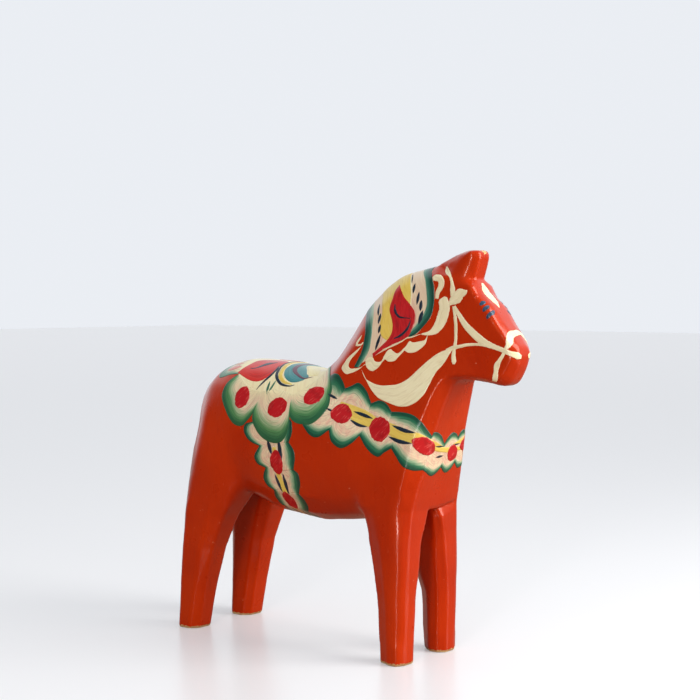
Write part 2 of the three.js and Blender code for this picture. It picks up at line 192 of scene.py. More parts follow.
class Nodes:
    """Short calls that add shader nodes to one material."""

    def __init__(self, name):
        self.material = bpy.data.materials.new(name)
        self.material.use_nodes = True
        self.tree = self.material.node_tree
        self.shader = self.tree.nodes["Principled BSDF"]

    def add(self, kind, inputs=(), **settings):
        node = self.tree.nodes.new(kind)
        for key, value in settings.items():
            setattr(node, key, value)
        for key, value in dict(inputs).items():
            self.put(node.inputs[key], value)
        return node

    def put(self, socket, value):
        if isinstance(value, bpy.types.NodeSocket):
            self.tree.links.new(value, socket)
        else:
            socket.default_value = value

    def attribute(self, name):
        return self.add("ShaderNodeAttribute", attribute_name=name).outputs["Fac"]

    def maths(self, operation, a, b=0.0, c=0.0):
        return self.add("ShaderNodeMath", {0: a, 1: b, 2: c}, operation=operation).outputs[0]

    def noise(self, vector, scale, detail=2.0, roughness=0.5):
        values = {"Vector": vector, "Scale": scale, "Detail": detail, "Roughness": roughness}
        return self.add("ShaderNodeTexNoise", values).outputs["Fac"]

    def vector(self, x, y, z):
        return self.add("ShaderNodeCombineXYZ", {0: x, 1: y, 2: z}).outputs[0]

    def ramp(self, value, stops):
        node = self.add("ShaderNodeValToRGB", {"Fac": value})
        elements = node.color_ramp.elements
        while len(elements) < len(stops):
            elements.new(1.0)
        for element, (position, colour) in zip(elements, stops):
            element.position = position
            element.color = linear(colour) if isinstance(colour, str) else (colour, colour, colour, 1)
        return node.outputs["Color"]

    def mix(self, factor, a, b, blend="MIX"):
        node = self.add("ShaderNodeMix", data_type="RGBA", blend_type=blend)
        self.put(node.inputs[0], factor)
        self.put(node.inputs[6], a)
        self.put(node.inputs[7], b)
        return node.outputs[2]

    def bump(self, height, distance, strength=1.0):
        values = {"Height": height, "Distance": distance, "Strength": strength}
        return self.add("ShaderNodeBump", values).outputs["Normal"]

    def finish(self, colour, roughness, normal=None, coat=0.5, coat_roughness=0.1, tint=None):
        self.put(self.shader.inputs["Base Color"], colour)
        self.put(self.shader.inputs["Roughness"], roughness)
        self.put(self.shader.inputs["Coat Weight"], coat)
        self.put(self.shader.inputs["Coat Roughness"], coat_roughness)
        if tint is not None:
            self.put(self.shader.inputs["Specular Tint"], tint)
        if normal is not None:
            self.put(self.shader.inputs["Normal"], normal)
        return self.material


# ---- the carving --------------------------------------------------------------------------
VOXEL = 0.9 * MM
COAT_OVER_PINE = 0.6 * MM
COAT_THICKNESS = 0.25 * MM
COAT_EDGE = 0.8 * MM


class Surface:
    """A triangle or quad mesh as arrays, with what smoothing and offsetting need."""

    def __init__(self, mesh):
        self.mesh = mesh
        self.count = len(mesh.vertices)
        points = np.empty(self.count * 3)
        mesh.vertices.foreach_get("co", points)
        self.points = points.reshape(-1, 3)
        edges = np.empty(len(mesh.edges) * 2, dtype=np.int64)
        mesh.edges.foreach_get("vertices", edges)
        self.edges = edges.reshape(-1, 2)
        self.degree = np.bincount(edges, minlength=self.count)[:, None]

    def neighbour_mean(self, values):
        a, b = self.edges.T
        total = np.empty_like(values)
        for k in range(values.shape[1]):
            total[:, k] = np.bincount(a, values[b, k], self.count)
            total[:, k] += np.bincount(b, values[a, k], self.count)
        return total / self.degree

    def smooth(self, rounds, share):
        """Moves each point by share of the way to its neighbours' mean, rounds times."""
        for _ in range(rounds):
            self.points += share * (self.neighbour_mean(self.points) - self.points)

    def write(self):
        self.mesh.vertices.foreach_set("co", self.points.ravel())
        self.mesh.update()

    def normals(self):
        self.write()
        values = np.empty(self.count * 3)
        self.mesh.vertices.foreach_get("normal", values)
        return values.reshape(-1, 3)


def within(values, low, high, soft):
    """1 where values lie between low and high, falling to 0 over soft on either side."""
    rise = np.clip((values - low) / soft + 1, 0, 1)
    fall = np.clip((high - values) / soft + 1, 0, 1)
    product = rise * fall
    return product * product * (3 - 2 * product)


def remeshed_carving():
    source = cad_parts["carved_pine_body"]
    block = bpy.data.objects.new("block", source.data.copy())
    bpy.context.scene.collection.objects.link(block)
    modifier = block.modifiers.new("remesh", "REMESH")
    modifier.mode = "VOXEL"
    modifier.voxel_size = VOXEL
    evaluated = block.evaluated_get(bpy.context.evaluated_depsgraph_get())
    mesh = bpy.data.meshes.new_from_object(evaluated)
    bpy.data.objects.remove(block)
    return Surface(mesh)


def soften(surface):
    """Rounds the knife ridges a little everywhere, and blends the neck into the shoulder."""
    x = (surface.points[:, 0] - STANCE_X) / MM
    z = surface.points[:, 2] / MM
    y = np.abs(surface.points[:, 1]) / MM
    neck = within(x, 22, 74, 12) * within(z, 122, 178, 10) * within(y, 8, 30, 3)
    shoulder = within(x, 8, 66, 10) * within(z, 92, 150, 10)
    thigh = within(x, -60, -20, 8) * within(z, 74, 128, 8) * within(y, 18, 40, 6)
    elbow = within(x, 26, 60, 8) * within(z, 66, 104, 8)
    back = within(x, -62, 30, 8) * within(z, 134, 160, 5)
    crest = within(x, 26, 78, 5) * within(z, 150, 196, 8)
    ear = within(x, 92, 101, 2.5) * within(y, 7, 20, 1.5) * within(z, 186, 196, 3)
    foreleg = within(x, 69.5, 72.5, 1.5) * within(y, 22.5, 30, 1) * within(z, 14, 80, 6)
    broad = np.maximum.reduce([neck, shoulder, thigh, 0.7 * elbow, back, crest, 0.6 * ear, 0.7 * foreleg])
    broad = broad[:, None]
    surface.smooth(1, 0.5)
    surface.smooth(60, 0.6 * broad)


STOP_CUT = ((72.5, 0.5, 73.2), (77.6, 17.5, 76.6))
STOP_CUT_DEPTH = 2.4


def stop_cut(surface):
    """The V cut that ends the left foreleg's inner front facet under the chest."""
    x = (surface.points[:, 0] - STANCE_X) / MM
    y = surface.points[:, 1] / MM
    z = surface.points[:, 2] / MM
    (_, y0, z0), (_, y1, z1) = STOP_CUT
    share = np.clip((y - y0) / (y1 - y0), 0, 1)
    above = z - (z0 + share * (z1 - z0))
    wall = np.where(above > 0, 1 - above / 1.4, 1 + above / 5)
    depth = STOP_CUT_DEPTH * np.clip(wall, 0, 1) * np.sqrt(np.clip(1 - share, 0, 1)) * within(y, y0, y1, 1.5)
    surface.points[:, 0] -= depth * (x > 60) * MM


def knife_marks(surface, normals):
    """Shallow hollows that the knife and the sanding left, a tenth of a millimetre deep."""
    places = surface.points / MM
    broad = [noise.noise(Vector(p / 17)) for p in places]
    fine = [noise.noise(Vector(p / 5.5) + Vector((31, 7, 11))) for p in places]
    depth = 0.28 * np.array(broad) + 0.06 * np.array(fine)
    return normals * (depth * MM)[:, None]


def carve():
    """The outside of the red coat, from the CAD block."""
    surface = remeshed_carving()
    soften(surface)
    stop_cut(surface)
    normals = surface.normals().copy()
    low = surface.points[:, 2] < 1.5 * MM
    normals[low, 2] = 0
    surface.points += normals * COAT_OVER_PINE + knife_marks(surface, normals)
    surface.points[:, 2] = np.maximum(surface.points[:, 2], 0)
    surface.write()
    for polygon in surface.mesh.polygons:
        polygon.use_smooth = True
    return surface


def new_piece(name, mesh, slot, material, *replaced):
    piece = bpy.data.objects.new(name, mesh)
    bpy.context.scene.collection.objects.link(piece)
    mesh.materials.clear()
    mesh.materials.append(material)
    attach(piece, BODY)
    if replaced:
        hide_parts(*replaced)
    return piece


surface = carve()
coat_tree = BVHTree.FromPolygons(
    [Vector(p) for p in surface.points],
    [tuple(polygon.vertices) for polygon in surface.mesh.polygons],
)


# ---- paint ----------------------------------------------------------------------------------
STEP = 0.55
UNDER = 0.05
ROUND_OVER = 0.5
FAR = 200


def on_coat(point, side):
    """The coat's point nearest to a measured one, or beside it where only x and z are given."""
    if len(point) == 2:
        start = placed(point[0], side * FAR, point[1])
        return coat_tree.ray_cast(start, Vector((0, -side, 0)))[0]
    x, y, z = point
    return coat_tree.find_nearest(placed(x, y if side == RIGHT else -y, z))[0]


def curve(points):
    """A centripetal Catmull-Rom curve through the points, as many close points."""
    if len(points) == 2:
        return np.linspace(points[0], points[1], 24)
    points = np.array(points, dtype=float)
    first = 2 * points[0] - points[1]
    last = 2 * points[-1] - points[-2]
    control = np.vstack([first, points, last])
    knots = np.concatenate([[0], np.cumsum(np.sqrt(np.linalg.norm(np.diff(control, axis=0), axis=1)))])
    pieces = []
    for i in range(1, len(control) - 2):
        t0, t1, t2, t3 = knots[i - 1 : i + 3]
        t = np.linspace(t1, t2, 16, endpoint=i == len(control) - 3)[:, None]
        p0, p1, p2, p3 = control[i - 1 : i + 3]
        a1 = (t1 - t) / (t1 - t0) * p0 + (t - t0) / (t1 - t0) * p1
        a2 = (t2 - t) / (t2 - t1) * p1 + (t - t1) / (t2 - t1) * p2
        a3 = (t3 - t) / (t3 - t2) * p2 + (t - t2) / (t3 - t2) * p3
        b1 = (t2 - t) / (t2 - t0) * a1 + (t - t0) / (t2 - t0) * a2
        b2 = (t3 - t) / (t3 - t1) * a2 + (t - t1) / (t3 - t1) * a3
        pieces.append((t2 - t) / (t2 - t1) * b1 + (t - t1) / (t2 - t1) * b2)
    return np.vstack(pieces)


def arc_length(points):
    return np.concatenate([[0], np.cumsum(np.linalg.norm(np.diff(points, axis=0), axis=1))])


def resampled(points, count):
    """Evenly spaced points on a polyline."""
    lengths = arc_length(points)
    at = np.linspace(0, lengths[-1], count)
    return np.column_stack([np.interp(at, lengths, points[:, k]) for k in range(points.shape[1])])


def spread(values, count):
    """A short list of values, interpolated to count values."""
    return np.interp(np.linspace(0, 1, count), np.linspace(0, 1, len(values)), values)


def settle(points):
    """The coat's nearest points to an array of points, and the coat's normals there."""
    found = [coat_tree.find_nearest(Vector(p))[:2] for p in points]
    return np.array([f[0] for f in found]), np.array([f[1] for f in found])


def wobble(curve_points, amount, seed):
    """Moves a painted edge by a hand's small unevenness, in millimetres."""
    lengths = arc_length(curve_points) / MM
    moved = [noise.noise_vector(Vector((s / 3.5, seed * 7.3, 1.7))) for s in lengths]
    return curve_points + np.array(moved) * amount * MM


class Film:
    """Thin closed bodies of paint that share one mesh."""

    def __init__(self, name, level, thickness, seed):
        self.name = name
        self.level = level
        self.thickness = thickness
        self.seed = seed
        self.vertices = []
        self.faces = []
        self.values = {"along": [], "depth": [], "edge": [], "across": [], "tone": []}

    def grid(self, points, depth, edge, level=None):
        """Adds one closed body over a grid of points that lie on or near the coat."""
        level = self.level if level is None else level
        rows, columns = points.shape[:2]
        flat, normals = settle(points.reshape(-1, 3))
        on = flat.reshape(rows, columns, 3)
        step_down = np.linalg.norm(np.diff(on, axis=0), axis=2)
        step_over = np.linalg.norm(np.diff(on, axis=1), axis=2)
        down = np.vstack([np.zeros(columns), np.cumsum(step_down, axis=0)]) / MM
        over = np.column_stack([np.zeros(rows), np.cumsum(step_over, axis=1)]) / MM
        border = np.minimum.reduce([down, down[-1] - down, over, over[:, -1:] - over])
        rise = 1 - np.clip(1 - border / ROUND_OVER, 0, 1) ** 2
        lift = (level + 0.015 + self.thickness * rise).reshape(-1, 1) * MM
        top = flat + normals * lift
        bottom = flat - normals * UNDER * MM
        self.add(top, bottom, rows, columns)
        width = np.maximum(over[:, -1:], 1e-6)
        self.seed += 1
        tone = np.full(points.shape[:2], self.seed * 0.618 % 1)
        along = np.repeat(down.mean(axis=1)[:, None], columns, axis=1)
        for key, value in (
            ("along", along),
            ("depth", over if depth is None else depth),
            ("edge", over if edge is None else over / edge[:, None]),
            ("across", over / width),
            ("tone", tone),
        ):
            self.values[key] += list(value.ravel()) * 2

    def add(self, top, bottom, rows, columns):
        base = len(self.vertices)
        count = rows * columns
        self.vertices += [tuple(p) for p in top] + [tuple(p) for p in bottom]

        def at(i, j, under=0):
            return base + under * count + i * columns + j

        for i in range(rows - 1):
            for j in range(columns - 1):
                a, b, c, d = (i, j), (i + 1, j), (i + 1, j + 1), (i, j + 1)
                self.faces.append([at(*a), at(*b), at(*c), at(*d)])
                self.faces.append([at(*d, 1), at(*c, 1), at(*b, 1), at(*a, 1)])
        for i in range(rows - 1):
            for j, flip in ((0, 1), (columns - 1, 0)):
                wall = [at(i, j), at(i + 1, j), at(i + 1, j, 1), at(i, j, 1)]
                self.faces.append(wall[::-1] if flip else wall)
        for j in range(columns - 1):
            for i, flip in ((0, 0), (rows - 1, 1)):
                wall = [at(i, j), at(i, j + 1), at(i, j + 1, 1), at(i, j, 1)]
                self.faces.append(wall[::-1] if flip else wall)

    def patch(self, side_a, side_b, green=None, jitter=0.12, spacing=STEP, level=None):
        """Fills between two edges. green gives the width of the dark border along side_a."""
        a, b = wobble(side_a, jitter, self.seed), wobble(side_b, jitter, self.seed + 40)
        length = max(arc_length(a)[-1], arc_length(b)[-1]) / MM
        rows = max(4, int(length / spacing) + 1)
        a, b = resampled(a, rows), resampled(b, rows)
        width = np.linalg.norm(a - b, axis=1).max() / MM
        columns = max(4, int(width * 1.12 / spacing) + 1)
        t = np.linspace(0, 1, columns)[None, :, None]
        points = a[:, None] * (1 - t) + b[:, None] * t
        edge = None if green is None else spread(green, rows)
        self.grid(points, None, edge, level)

    def stroke(self, centre, halves, jitter=0.1, spacing=0.45, level=None):
        """A brush stroke along a centre line, with its half width at each given point."""
        dense = wobble(curve(centre), jitter, self.seed)
        length = arc_length(dense)[-1] / MM
        rows = max(6, int(length / spacing) + 1)
        line = resampled(dense, rows)
        if len(halves) == len(centre):
            places = arc_length(np.array(centre))
            half = np.interp(np.linspace(0, places[-1], rows), places, halves) * MM
        else:
            half = spread(halves, rows) * MM
        line, normals = settle(line)
        ahead = np.gradient(line, axis=0)
        ahead /= np.linalg.norm(ahead, axis=1)[:, None] + 1e-12
        sideways = np.cross(normals, ahead)
        sideways /= np.linalg.norm(sideways, axis=1)[:, None] + 1e-12
        columns = max(5, int(2 * max(halves) / spacing) + 1)
        t = np.linspace(-1, 1, columns)[None, :, None]
        uneven = 1 + 0.1 * np.array([noise.noise(Vector((i * 0.4, self.seed, 3.1))) for i in range(rows)])
        points = line[:, None] + sideways[:, None] * (half * uneven)[:, None, None] * t
        self.grid(points, None, None, level)

    def piece(self, slot, material, *replaced):
        mesh = bpy.data.meshes.new(self.name)
        mesh.from_pydata(self.vertices, [], self.faces)
        for key, values in self.values.items():
            layer = mesh.attributes.new(key, "FLOAT", "POINT")
            layer.data.foreach_set("value", values)
        build = bmesh.new()
        build.from_mesh(mesh)
        bmesh.ops.remove_doubles(build, verts=build.verts, dist=0.01 * MM)
        bmesh.ops.dissolve_degenerate(build, dist=0.005 * MM, edges=build.edges)
        bmesh.ops.recalc_face_normals(build, faces=build.faces)
        build.to_mesh(mesh)
        build.free()
        for polygon in mesh.polygons:
            polygon.use_smooth = True
        return new_piece(self.name, mesh, slot, material, *replaced)


def trace(side, *points):
    """A smooth line on the coat through measured points."""
    return curve([on_coat(p, side) for p in points])


def round_halves(half, count=13):
    """Half widths of an oval stroke."""
    return [half * math.sin(math.pi * i / (count - 1)) ** 0.55 for i in range(count)]


def leaf_halves(half, count=9):
    """Half widths of a dash that is thick in its middle."""
    return [half * math.sin(math.pi * i / (count - 1)) ** 0.8 for i in range(count)]


# ---- paint and wood materials --------------------------------------------------------------
def streaks(nodes, along, depth, fineness=1.0):
    """Long streaks along a brush stroke: brushed hairs a fraction of a millimetre apart."""
    tone = nodes.maths("MULTIPLY", nodes.attribute("tone"), 60.0)
    vector = nodes.vector(
        nodes.maths("MULTIPLY", nodes.attribute("along"), along * fineness),
        nodes.maths("MULTIPLY", nodes.attribute("depth"), depth * fineness),
        tone,
    )
    return nodes.noise(vector, 1.0, 3.0, 0.6)


def brushed_film(nodes, colour, hairs, gloss=0.32):
    """Finishes a paint: brush hairs in its relief, and an uneven varnish over it."""
    place = nodes.add("ShaderNodeTexCoord").outputs["Object"]
    cloud = nodes.noise(place, 160.0, 2.0)
    roughness = nodes.maths("MULTIPLY_ADD", cloud, 0.16, gloss - 0.08)
    relief = nodes.maths("MULTIPLY_ADD", cloud, 0.5, hairs)
    normal = nodes.bump(relief, 0.09 * MM, 0.7)
    return nodes.finish(colour, roughness, normal, coat=0.35, coat_roughness=0.16)


def bordered_paint(name, greens, cream, pink, radial=0.0, root=None):
    """A double-loaded stroke: green at its outer edge, blended by the brush into cream."""
    nodes = Nodes(name)
    broad = streaks(nodes, 0.1, 1.1)
    fine = streaks(nodes, 0.12, 3.6)
    edge = nodes.attribute("edge")
    shift = nodes.maths("MULTIPLY_ADD", broad, 0.7, -0.35)
    fade = nodes.maths("ADD", edge, nodes.maths("MULTIPLY", shift, nodes.maths("MINIMUM", edge, 1.0)))
    fade = nodes.maths("ADD", fade, nodes.maths("MULTIPLY_ADD", fine, 0.36, -0.18))
    dark, middle, pale = greens
    ramp = nodes.ramp(
        nodes.maths("MULTIPLY", fade, 0.6),
        [(0.0, dark), (0.16, dark), (0.38, middle), (0.62, pale), (0.86, cream)],
    )
    mottle = streaks(nodes, 0.5 if radial else 0.16, 0.3 if radial else 0.9)
    blush = nodes.maths("MULTIPLY", nodes.ramp(mottle, [(0.38, 0.0), (0.66, 1.0)]), 0.7)
    inside = nodes.ramp(nodes.maths("MULTIPLY", edge, 0.5), [(0.45, 0.0), (0.75, 1.0)])
    colour = nodes.mix(nodes.maths("MULTIPLY", blush, inside), ramp, linear(pink))
    if root:
        joined = nodes.ramp(nodes.attribute("across"), [(0.62, 0.0), (0.98, 1.0)])
        colour = nodes.mix(joined, colour, linear(root))
    value = nodes.ramp(fine, [(0.32, 0.66), (0.5, 0.97), (0.68, 1.08)])
    colour = nodes.mix(1.0, colour, value, "MULTIPLY")
    return brushed_film(nodes, colour, fine)


def plain_paint(name, base, light, dark, along=0.14, depth=2.4, light_share=0.35, gloss=0.32):
    """One paint, with paler and darker hairs along its strokes."""
    nodes = Nodes(name)
    hairs = streaks(nodes, along, depth)
    broad = streaks(nodes, along * 0.8, depth * 0.35)
    colour = nodes.mix(nodes.ramp(hairs, [(0.52, 0.0), (0.68, light_share)]), linear(base), linear(light))
    colour = nodes.mix(nodes.ramp(broad, [(0.3, 0.7), (0.5, 0.0)]), colour, linear(dark))
    return brushed_film(nodes, colour, hairs, gloss)


def dot_paint(name):
    """Crimson laid on in slanting strokes, thin between them."""
    nodes = Nodes(name)
    place = nodes.add("ShaderNodeTexCoord").outputs["Object"]
    turned = nodes.add(
        "ShaderNodeMapping", {"Vector": place, "Rotation": (0.0, math.radians(48), 0.0)}
    ).outputs[0]
    drawn = nodes.add("ShaderNodeMapping", {"Vector": turned, "Scale": (240.0, 300.0, 1500.0)}).outputs[0]
    hairs = nodes.noise(drawn, 1.0, 2.0, 0.55)
    broad = nodes.noise(place, 210.0, 2.0)
    colour = nodes.mix(nodes.ramp(hairs, [(0.56, 0.0), (0.68, 0.55)]), linear("B80C16"), linear("E2625A"))
    colour = nodes.mix(nodes.ramp(broad, [(0.35, 0.5), (0.5, 0.0)]), colour, linear("93060E"))
    return brushed_film(nodes, colour, hairs, 0.3)


EAR_CHIPS = (((104.2, 0.6, 199.2), 1.6), ((93.6, 2.0, 199.6), 0.9), ((81.5, 1.0, 194.0), 1.0))
SOLE_WEAR = 1.3


def pine_colour(nodes, place):
    """Pale pine with the year rings of a knotless block, running along the horse."""
    stretched = nodes.add("ShaderNodeMapping", {"Vector": place, "Scale": (1.0, 7.0, 5.0)}).outputs[0]
    bend = nodes.noise(stretched, 14.0, 2.0)
    rings = nodes.add(
        "ShaderNodeTexWave",
        {"Vector": stretched, "Scale": 60.0, "Distortion": 2.0, "Detail": 2.0},
        wave_type="BANDS",
        bands_direction="Z",
    ).outputs["Fac"]
    colour = nodes.ramp(rings, [(0.2, "C9A06A"), (0.7, "E0C08C")])
    return nodes.mix(nodes.ramp(bend, [(0.4, 0.0), (0.7, 0.5)]), colour, linear("B98A52")), rings


def red_coat_material():
    nodes = Nodes("red_coat")
    place = nodes.add("ShaderNodeTexCoord").outputs["Object"]
    cloud = nodes.noise(place, 22.0, 3.0)
    colour = nodes.mix(
        nodes.ramp(cloud, [(0.32, 0.0), (0.68, 1.0)]),
        (0.41, 0.019, 0.001, 1),
        (0.51, 0.03, 0.0012, 1),
    )
    upright = nodes.add("ShaderNodeMapping", {"Vector": place, "Scale": (1.0, 1.0, 0.16)}).outputs[0]
    hairs = nodes.noise(upright, 900.0, 3.0, 0.6)
    colour = nodes.mix(nodes.ramp(hairs, [(0.3, 0.16), (0.48, 0.0)]), colour, (0.32, 0.012, 0.001, 1))
    rub = nodes.noise(place, 330.0, 4.0, 0.65)
    rubbed = nodes.ramp(rub, [(0.685, 0.0), (0.74, 0.6)])
    colour = nodes.mix(rubbed, colour, (0.72, 0.23, 0.13, 1))
    wood, rings = pine_colour(nodes, place)
    ragged = nodes.noise(place, 900.0, 3.0)
    height = nodes.add("ShaderNodeSeparateXYZ", {0: place}).outputs["Z"]
    bare = nodes.maths(
        "LESS_THAN", height, nodes.maths("MULTIPLY_ADD", ragged, 1.6 * MM, (SOLE_WEAR - 0.8) * MM)
    )
    for centre, reach in EAR_CHIPS:
        away = nodes.add(
            "ShaderNodeVectorMath", {0: place, 1: placed(*centre)}, operation="DISTANCE"
        ).outputs["Value"]
        limit = nodes.maths("MULTIPLY_ADD", ragged, 2.4 * MM, (reach - 1.2) * MM)
        bare = nodes.maths("MAXIMUM", bare, nodes.maths("LESS_THAN", away, limit))
    colour = nodes.mix(bare, colour, wood)
    roughness = nodes.maths("MULTIPLY_ADD", nodes.noise(place, 70.0, 3.0), 0.2, 0.2)
    roughness = nodes.maths("MULTIPLY_ADD", bare, 0.3, roughness)
    relief = nodes.maths("MULTIPLY_ADD", nodes.noise(place, 260.0, 3.0), 1.2, nodes.maths("MULTIPLY", hairs, 0.5))
    normal = nodes.bump(relief, 0.12 * MM, 0.8)
    varnish = nodes.maths("MULTIPLY_ADD", bare, -0.55, 0.55)
    return nodes.finish(colour, roughness, normal, varnish, 0.1, (1.0, 0.3, 0.12, 1))


def pine_material():
    nodes = Nodes("bare_pine")
    place = nodes.add("ShaderNodeTexCoord").outputs["Object"]
    colour, rings = pine_colour(nodes, place)
    soil = nodes.noise(place, 240.0, 4.0, 0.7)
    colour = nodes.mix(nodes.ramp(soil, [(0.5, 0.0), (0.72, 0.55)]), colour, linear("7A5A38"))
    normal = nodes.bump(nodes.maths("ADD", rings, soil), 0.1 * MM, 0.6)
    return nodes.finish(colour, 0.72, normal, coat=0.0)


CREAM = plain_paint("cream_paint", "E8E0B8", "F2EBCB", "D3C59A", light_share=0.6)
SADDLE_CREAM = plain_paint("saddle_cream", "E8DDB0", "F1E9C8", "DEC69E", 0.06, 1.3, 0.6)
MANE_CREAM = plain_paint("mane_cream", "DDC6A8", "E6D8B8", "D49E88", 0.05, 1.2, 0.8)
SADDLE_EDGE = bordered_paint("saddle_edge", ("2A6642", "548F58", "A4B98F"), "E6D6B2", "DCAE96", root="E8DDB0")
BAND_EDGE = bordered_paint("band_edge", ("124F3B", "2E7856", "9DBB95"), "E8D6B2", "E0A692", radial=1.0)
GIRTH_EDGE = bordered_paint("girth_edge", ("0F4A38", "2F7755", "9DBB95"), "E4D0AA", "DFAA94", radial=1.0)
MANE_EDGE = bordered_paint("mane_edge", ("164F41", "3A7C68", "9CBB9C"), "DCCBAA", "D9AE9A")
RUMP_EDGE = bordered_paint("rump_edge", ("4C7F66", "6E9A80", "A9BC9A"), "E6DAB6", "D9968A", root="E8DDB0")
YELLOW = plain_paint("yellow_paint", "DFC358", "EDDA8C", "CBA64A")
PALE_YELLOW = plain_paint("pale_yellow_paint", "E8DDA6", "F0E8C4", "DCC888")
RED = plain_paint("flame_red", "BC1119", "D6453F", "8E0A12")
FLOWER_RED = plain_paint("flower_red", "CC2A22", "DC5A4C", "A51B1C")
PETAL_PINK = plain_paint("petal_pink", "D8877C", "E2A898", "C2584E")
TEAL = plain_paint("teal_paint", "3B8587", "6CA9A6", "24646C")
PURPLE = plain_paint("purple_paint", "5E3247", "86566A", "3E2235")
DASH = plain_paint("blue_black_paint", "17293A", "3C5268", "0E1A26")
# The eye strokes' paler blue hairs are partly brush streaks and partly a painted highlight of the varnish.
EYE_BLUE_WITH_PAINTED_HIGHLIGHT = plain_paint("eye_blue_paint_with_painted_highlight", "2C4862", "53708A", "1A2E42")
FINE_GREEN = plain_paint("leaf_green_paint", "3A6F56", "6D9A80", "20493A")
DOT = dot_paint("dot_crimson")


# ---- the painted pattern --------------------------------------------------------------------
# Points are stance millimetres on the horse's right side: (x, z) seen from the side, or
# (x, y, z) where the surface turns away. The left side repeats them mirrored.
SIDES = ((RIGHT, "right"), (LEFT, "left"))


def over_top(*points):
    """A path from the right side, over the middle of the body, to the same place on the left."""
    back = [(x, -y, z) for x, y, z in points if y != 0]
    return list(points) + back[::-1]


SADDLE_LOBES = (
    (
        "rear",
        [(-35.5, 137), (-40.5, 132.5), (-42, 126), (-38.5, 120),
         (-34.5, 114.5), (-31.5, 112), (-28, 111), (-25, 111.5), (-22.5, 113.5), (-19, 117),
         (-16, 122.5)],
        [(-33, 136.5), (-27, 133), (-21, 130.5), (-15, 129)],
        (1.5, 6.5, 7.5, 8, 7.5, 7, 6, 4, 1.5),
    ),
    (
        "front",
        [(5, 123), (5.5, 118), (9, 115), (14.5, 114),
         (20, 114.5), (24.5, 118), (27.5, 123), (26.5, 128),
         (26, 132.5), (21.5, 139), (17.5, 142.5)],
        [(5, 128.5), (9, 130.5), (13, 134.5), (14.5, 138.5),
         (15, -7.5, 142)],
        (2.5, 7, 9, 9.5, 9, 8, 6.5, 4.5, 3, 2.4, 2),
    ),
    (
        "middle",
        [(-16, 122.5), (-18.5, 116), (-16.5, 111), (-13, 107),
         (-8.5, 104.5), (-3.5, 103.5), (1, 104.5), (4, 107.5),
         (6, 112), (6, 115.5), (5, 123)],
        [(-15, 129), (-8, -23, 130), (-2, 130), (5, 128.5)],
        (1.2, 5.5, 8, 9.5, 10, 9.5, 8.5, 6.5, 4.5, 3.4, 1.2),
    ),
)
RUMP_SIDE_LOBE = (
    (-36, 137.5), (-42.5, 136.5), (-50, 135), (-52, -14.5, 137.5), (-50.5, -10, 139.5),
    (-46.5, -7.5, 141),
)
RUMP_SIDE_ROOT = ((-35, 138), (-36, -14, 140.5), (-36.5, -8, 142))
RUMP_MIDDLE_LOBE = (
    (-46.5, -7.5, 141), (-51.5, -5.5, 140), (-53.5, 0, 140), (-51.5, 5.5, 140), (-46.5, 7.5, 141),
)
RUMP_PETALS = (
    (RIGHT, (-36.5, -15.5, 140), (-46.5, -15.5, 138), 2.0),
    (RIGHT, (-37.5, -12, 141), (-44.5, -11, 140), 0.9),
    (LEFT, (-36.5, -15.5, 140), (-46.5, -15.5, 138), 2.0),
    (LEFT, (-37.5, -12, 141), (-44.5, -11, 140), 0.9),
    (RIGHT, (-38, 0, 142), (-48.5, 0, 141), 2.2),
)
SADDLE_OVALS = (
    ((-25.5, 131.5), (-28.5, 120), 4.8),
    ((-8.5, 119), (3, 124.5), 5.0),
    ((13.5, 124.5), (21, 132), 4.9),
)


def paint_saddle():
    ground = Film("saddle_ground", 0.05, 0.06, 1)
    rear = over_top((-31, -25.5, 128), (-34, -21.5, 135.5), (-37, -15, 140), (-38, -8, 142), (-38, 0, 142))
    front = over_top((22, -21.5, 127), (21.5, -17, 133), (19, -12, 138), (15.5, -7, 141.5), (14.5, 0, 142))
    ground.patch(trace(RIGHT, *rear), trace(RIGHT, *front))
    ground.piece("saddle_green_enamel", SADDLE_CREAM, "saddle_paint")

    rump = Film("saddle_lobes_rump", 0.07, 0.07, 3)
    for side in (RIGHT, LEFT):
        rump.patch(trace(side, *RUMP_SIDE_LOBE), trace(side, *RUMP_SIDE_ROOT), green=(1.5, 3, 6, 6.5, 6, 4, 1.5))
    rump.patch(
        trace(RIGHT, *RUMP_MIDDLE_LOBE),
        trace(RIGHT, (-36.5, -8, 142), (-36.5, 0, 142.5), (-36.5, 8, 142)),
        green=(1.5, 5, 6.5, 5, 1.5),
        level=0.09,
    )
    rump.piece("saddle_green_enamel", RUMP_EDGE)
    petals = Film("saddle_rump_petals", 0.17, 0.05, 4)
    for side, start, end, half in RUMP_PETALS:
        petals.stroke([on_coat(start, side), on_coat(end, side)], leaf_halves(half), jitter=0.25)
    petals.piece("saddle_green_enamel", PETAL_PINK)

    for side, word in SIDES:
        for k, (name, outer, root, green) in enumerate(SADDLE_LOBES):
            lobe = Film(f"saddle_lobe_{name}_{word}", 0.1 + 0.03 * k, 0.08, 5 + k + 3 * side)
            lobe.patch(trace(side, *outer), trace(side, *root), green=green)
            lobe.piece("saddle_green_enamel", SADDLE_EDGE)
        ovals = Film(f"saddle_ovals_{word}", 0.24, 0.1, 12 + side)
        for start, end, half in SADDLE_OVALS:
            ovals.stroke([on_coat(start, side), on_coat(end, side)], round_halves(half), jitter=0.3)
        ovals.piece("saddle_green_enamel", DOT)
        paint_saddle_side(side, word)
    paint_saddle_top()


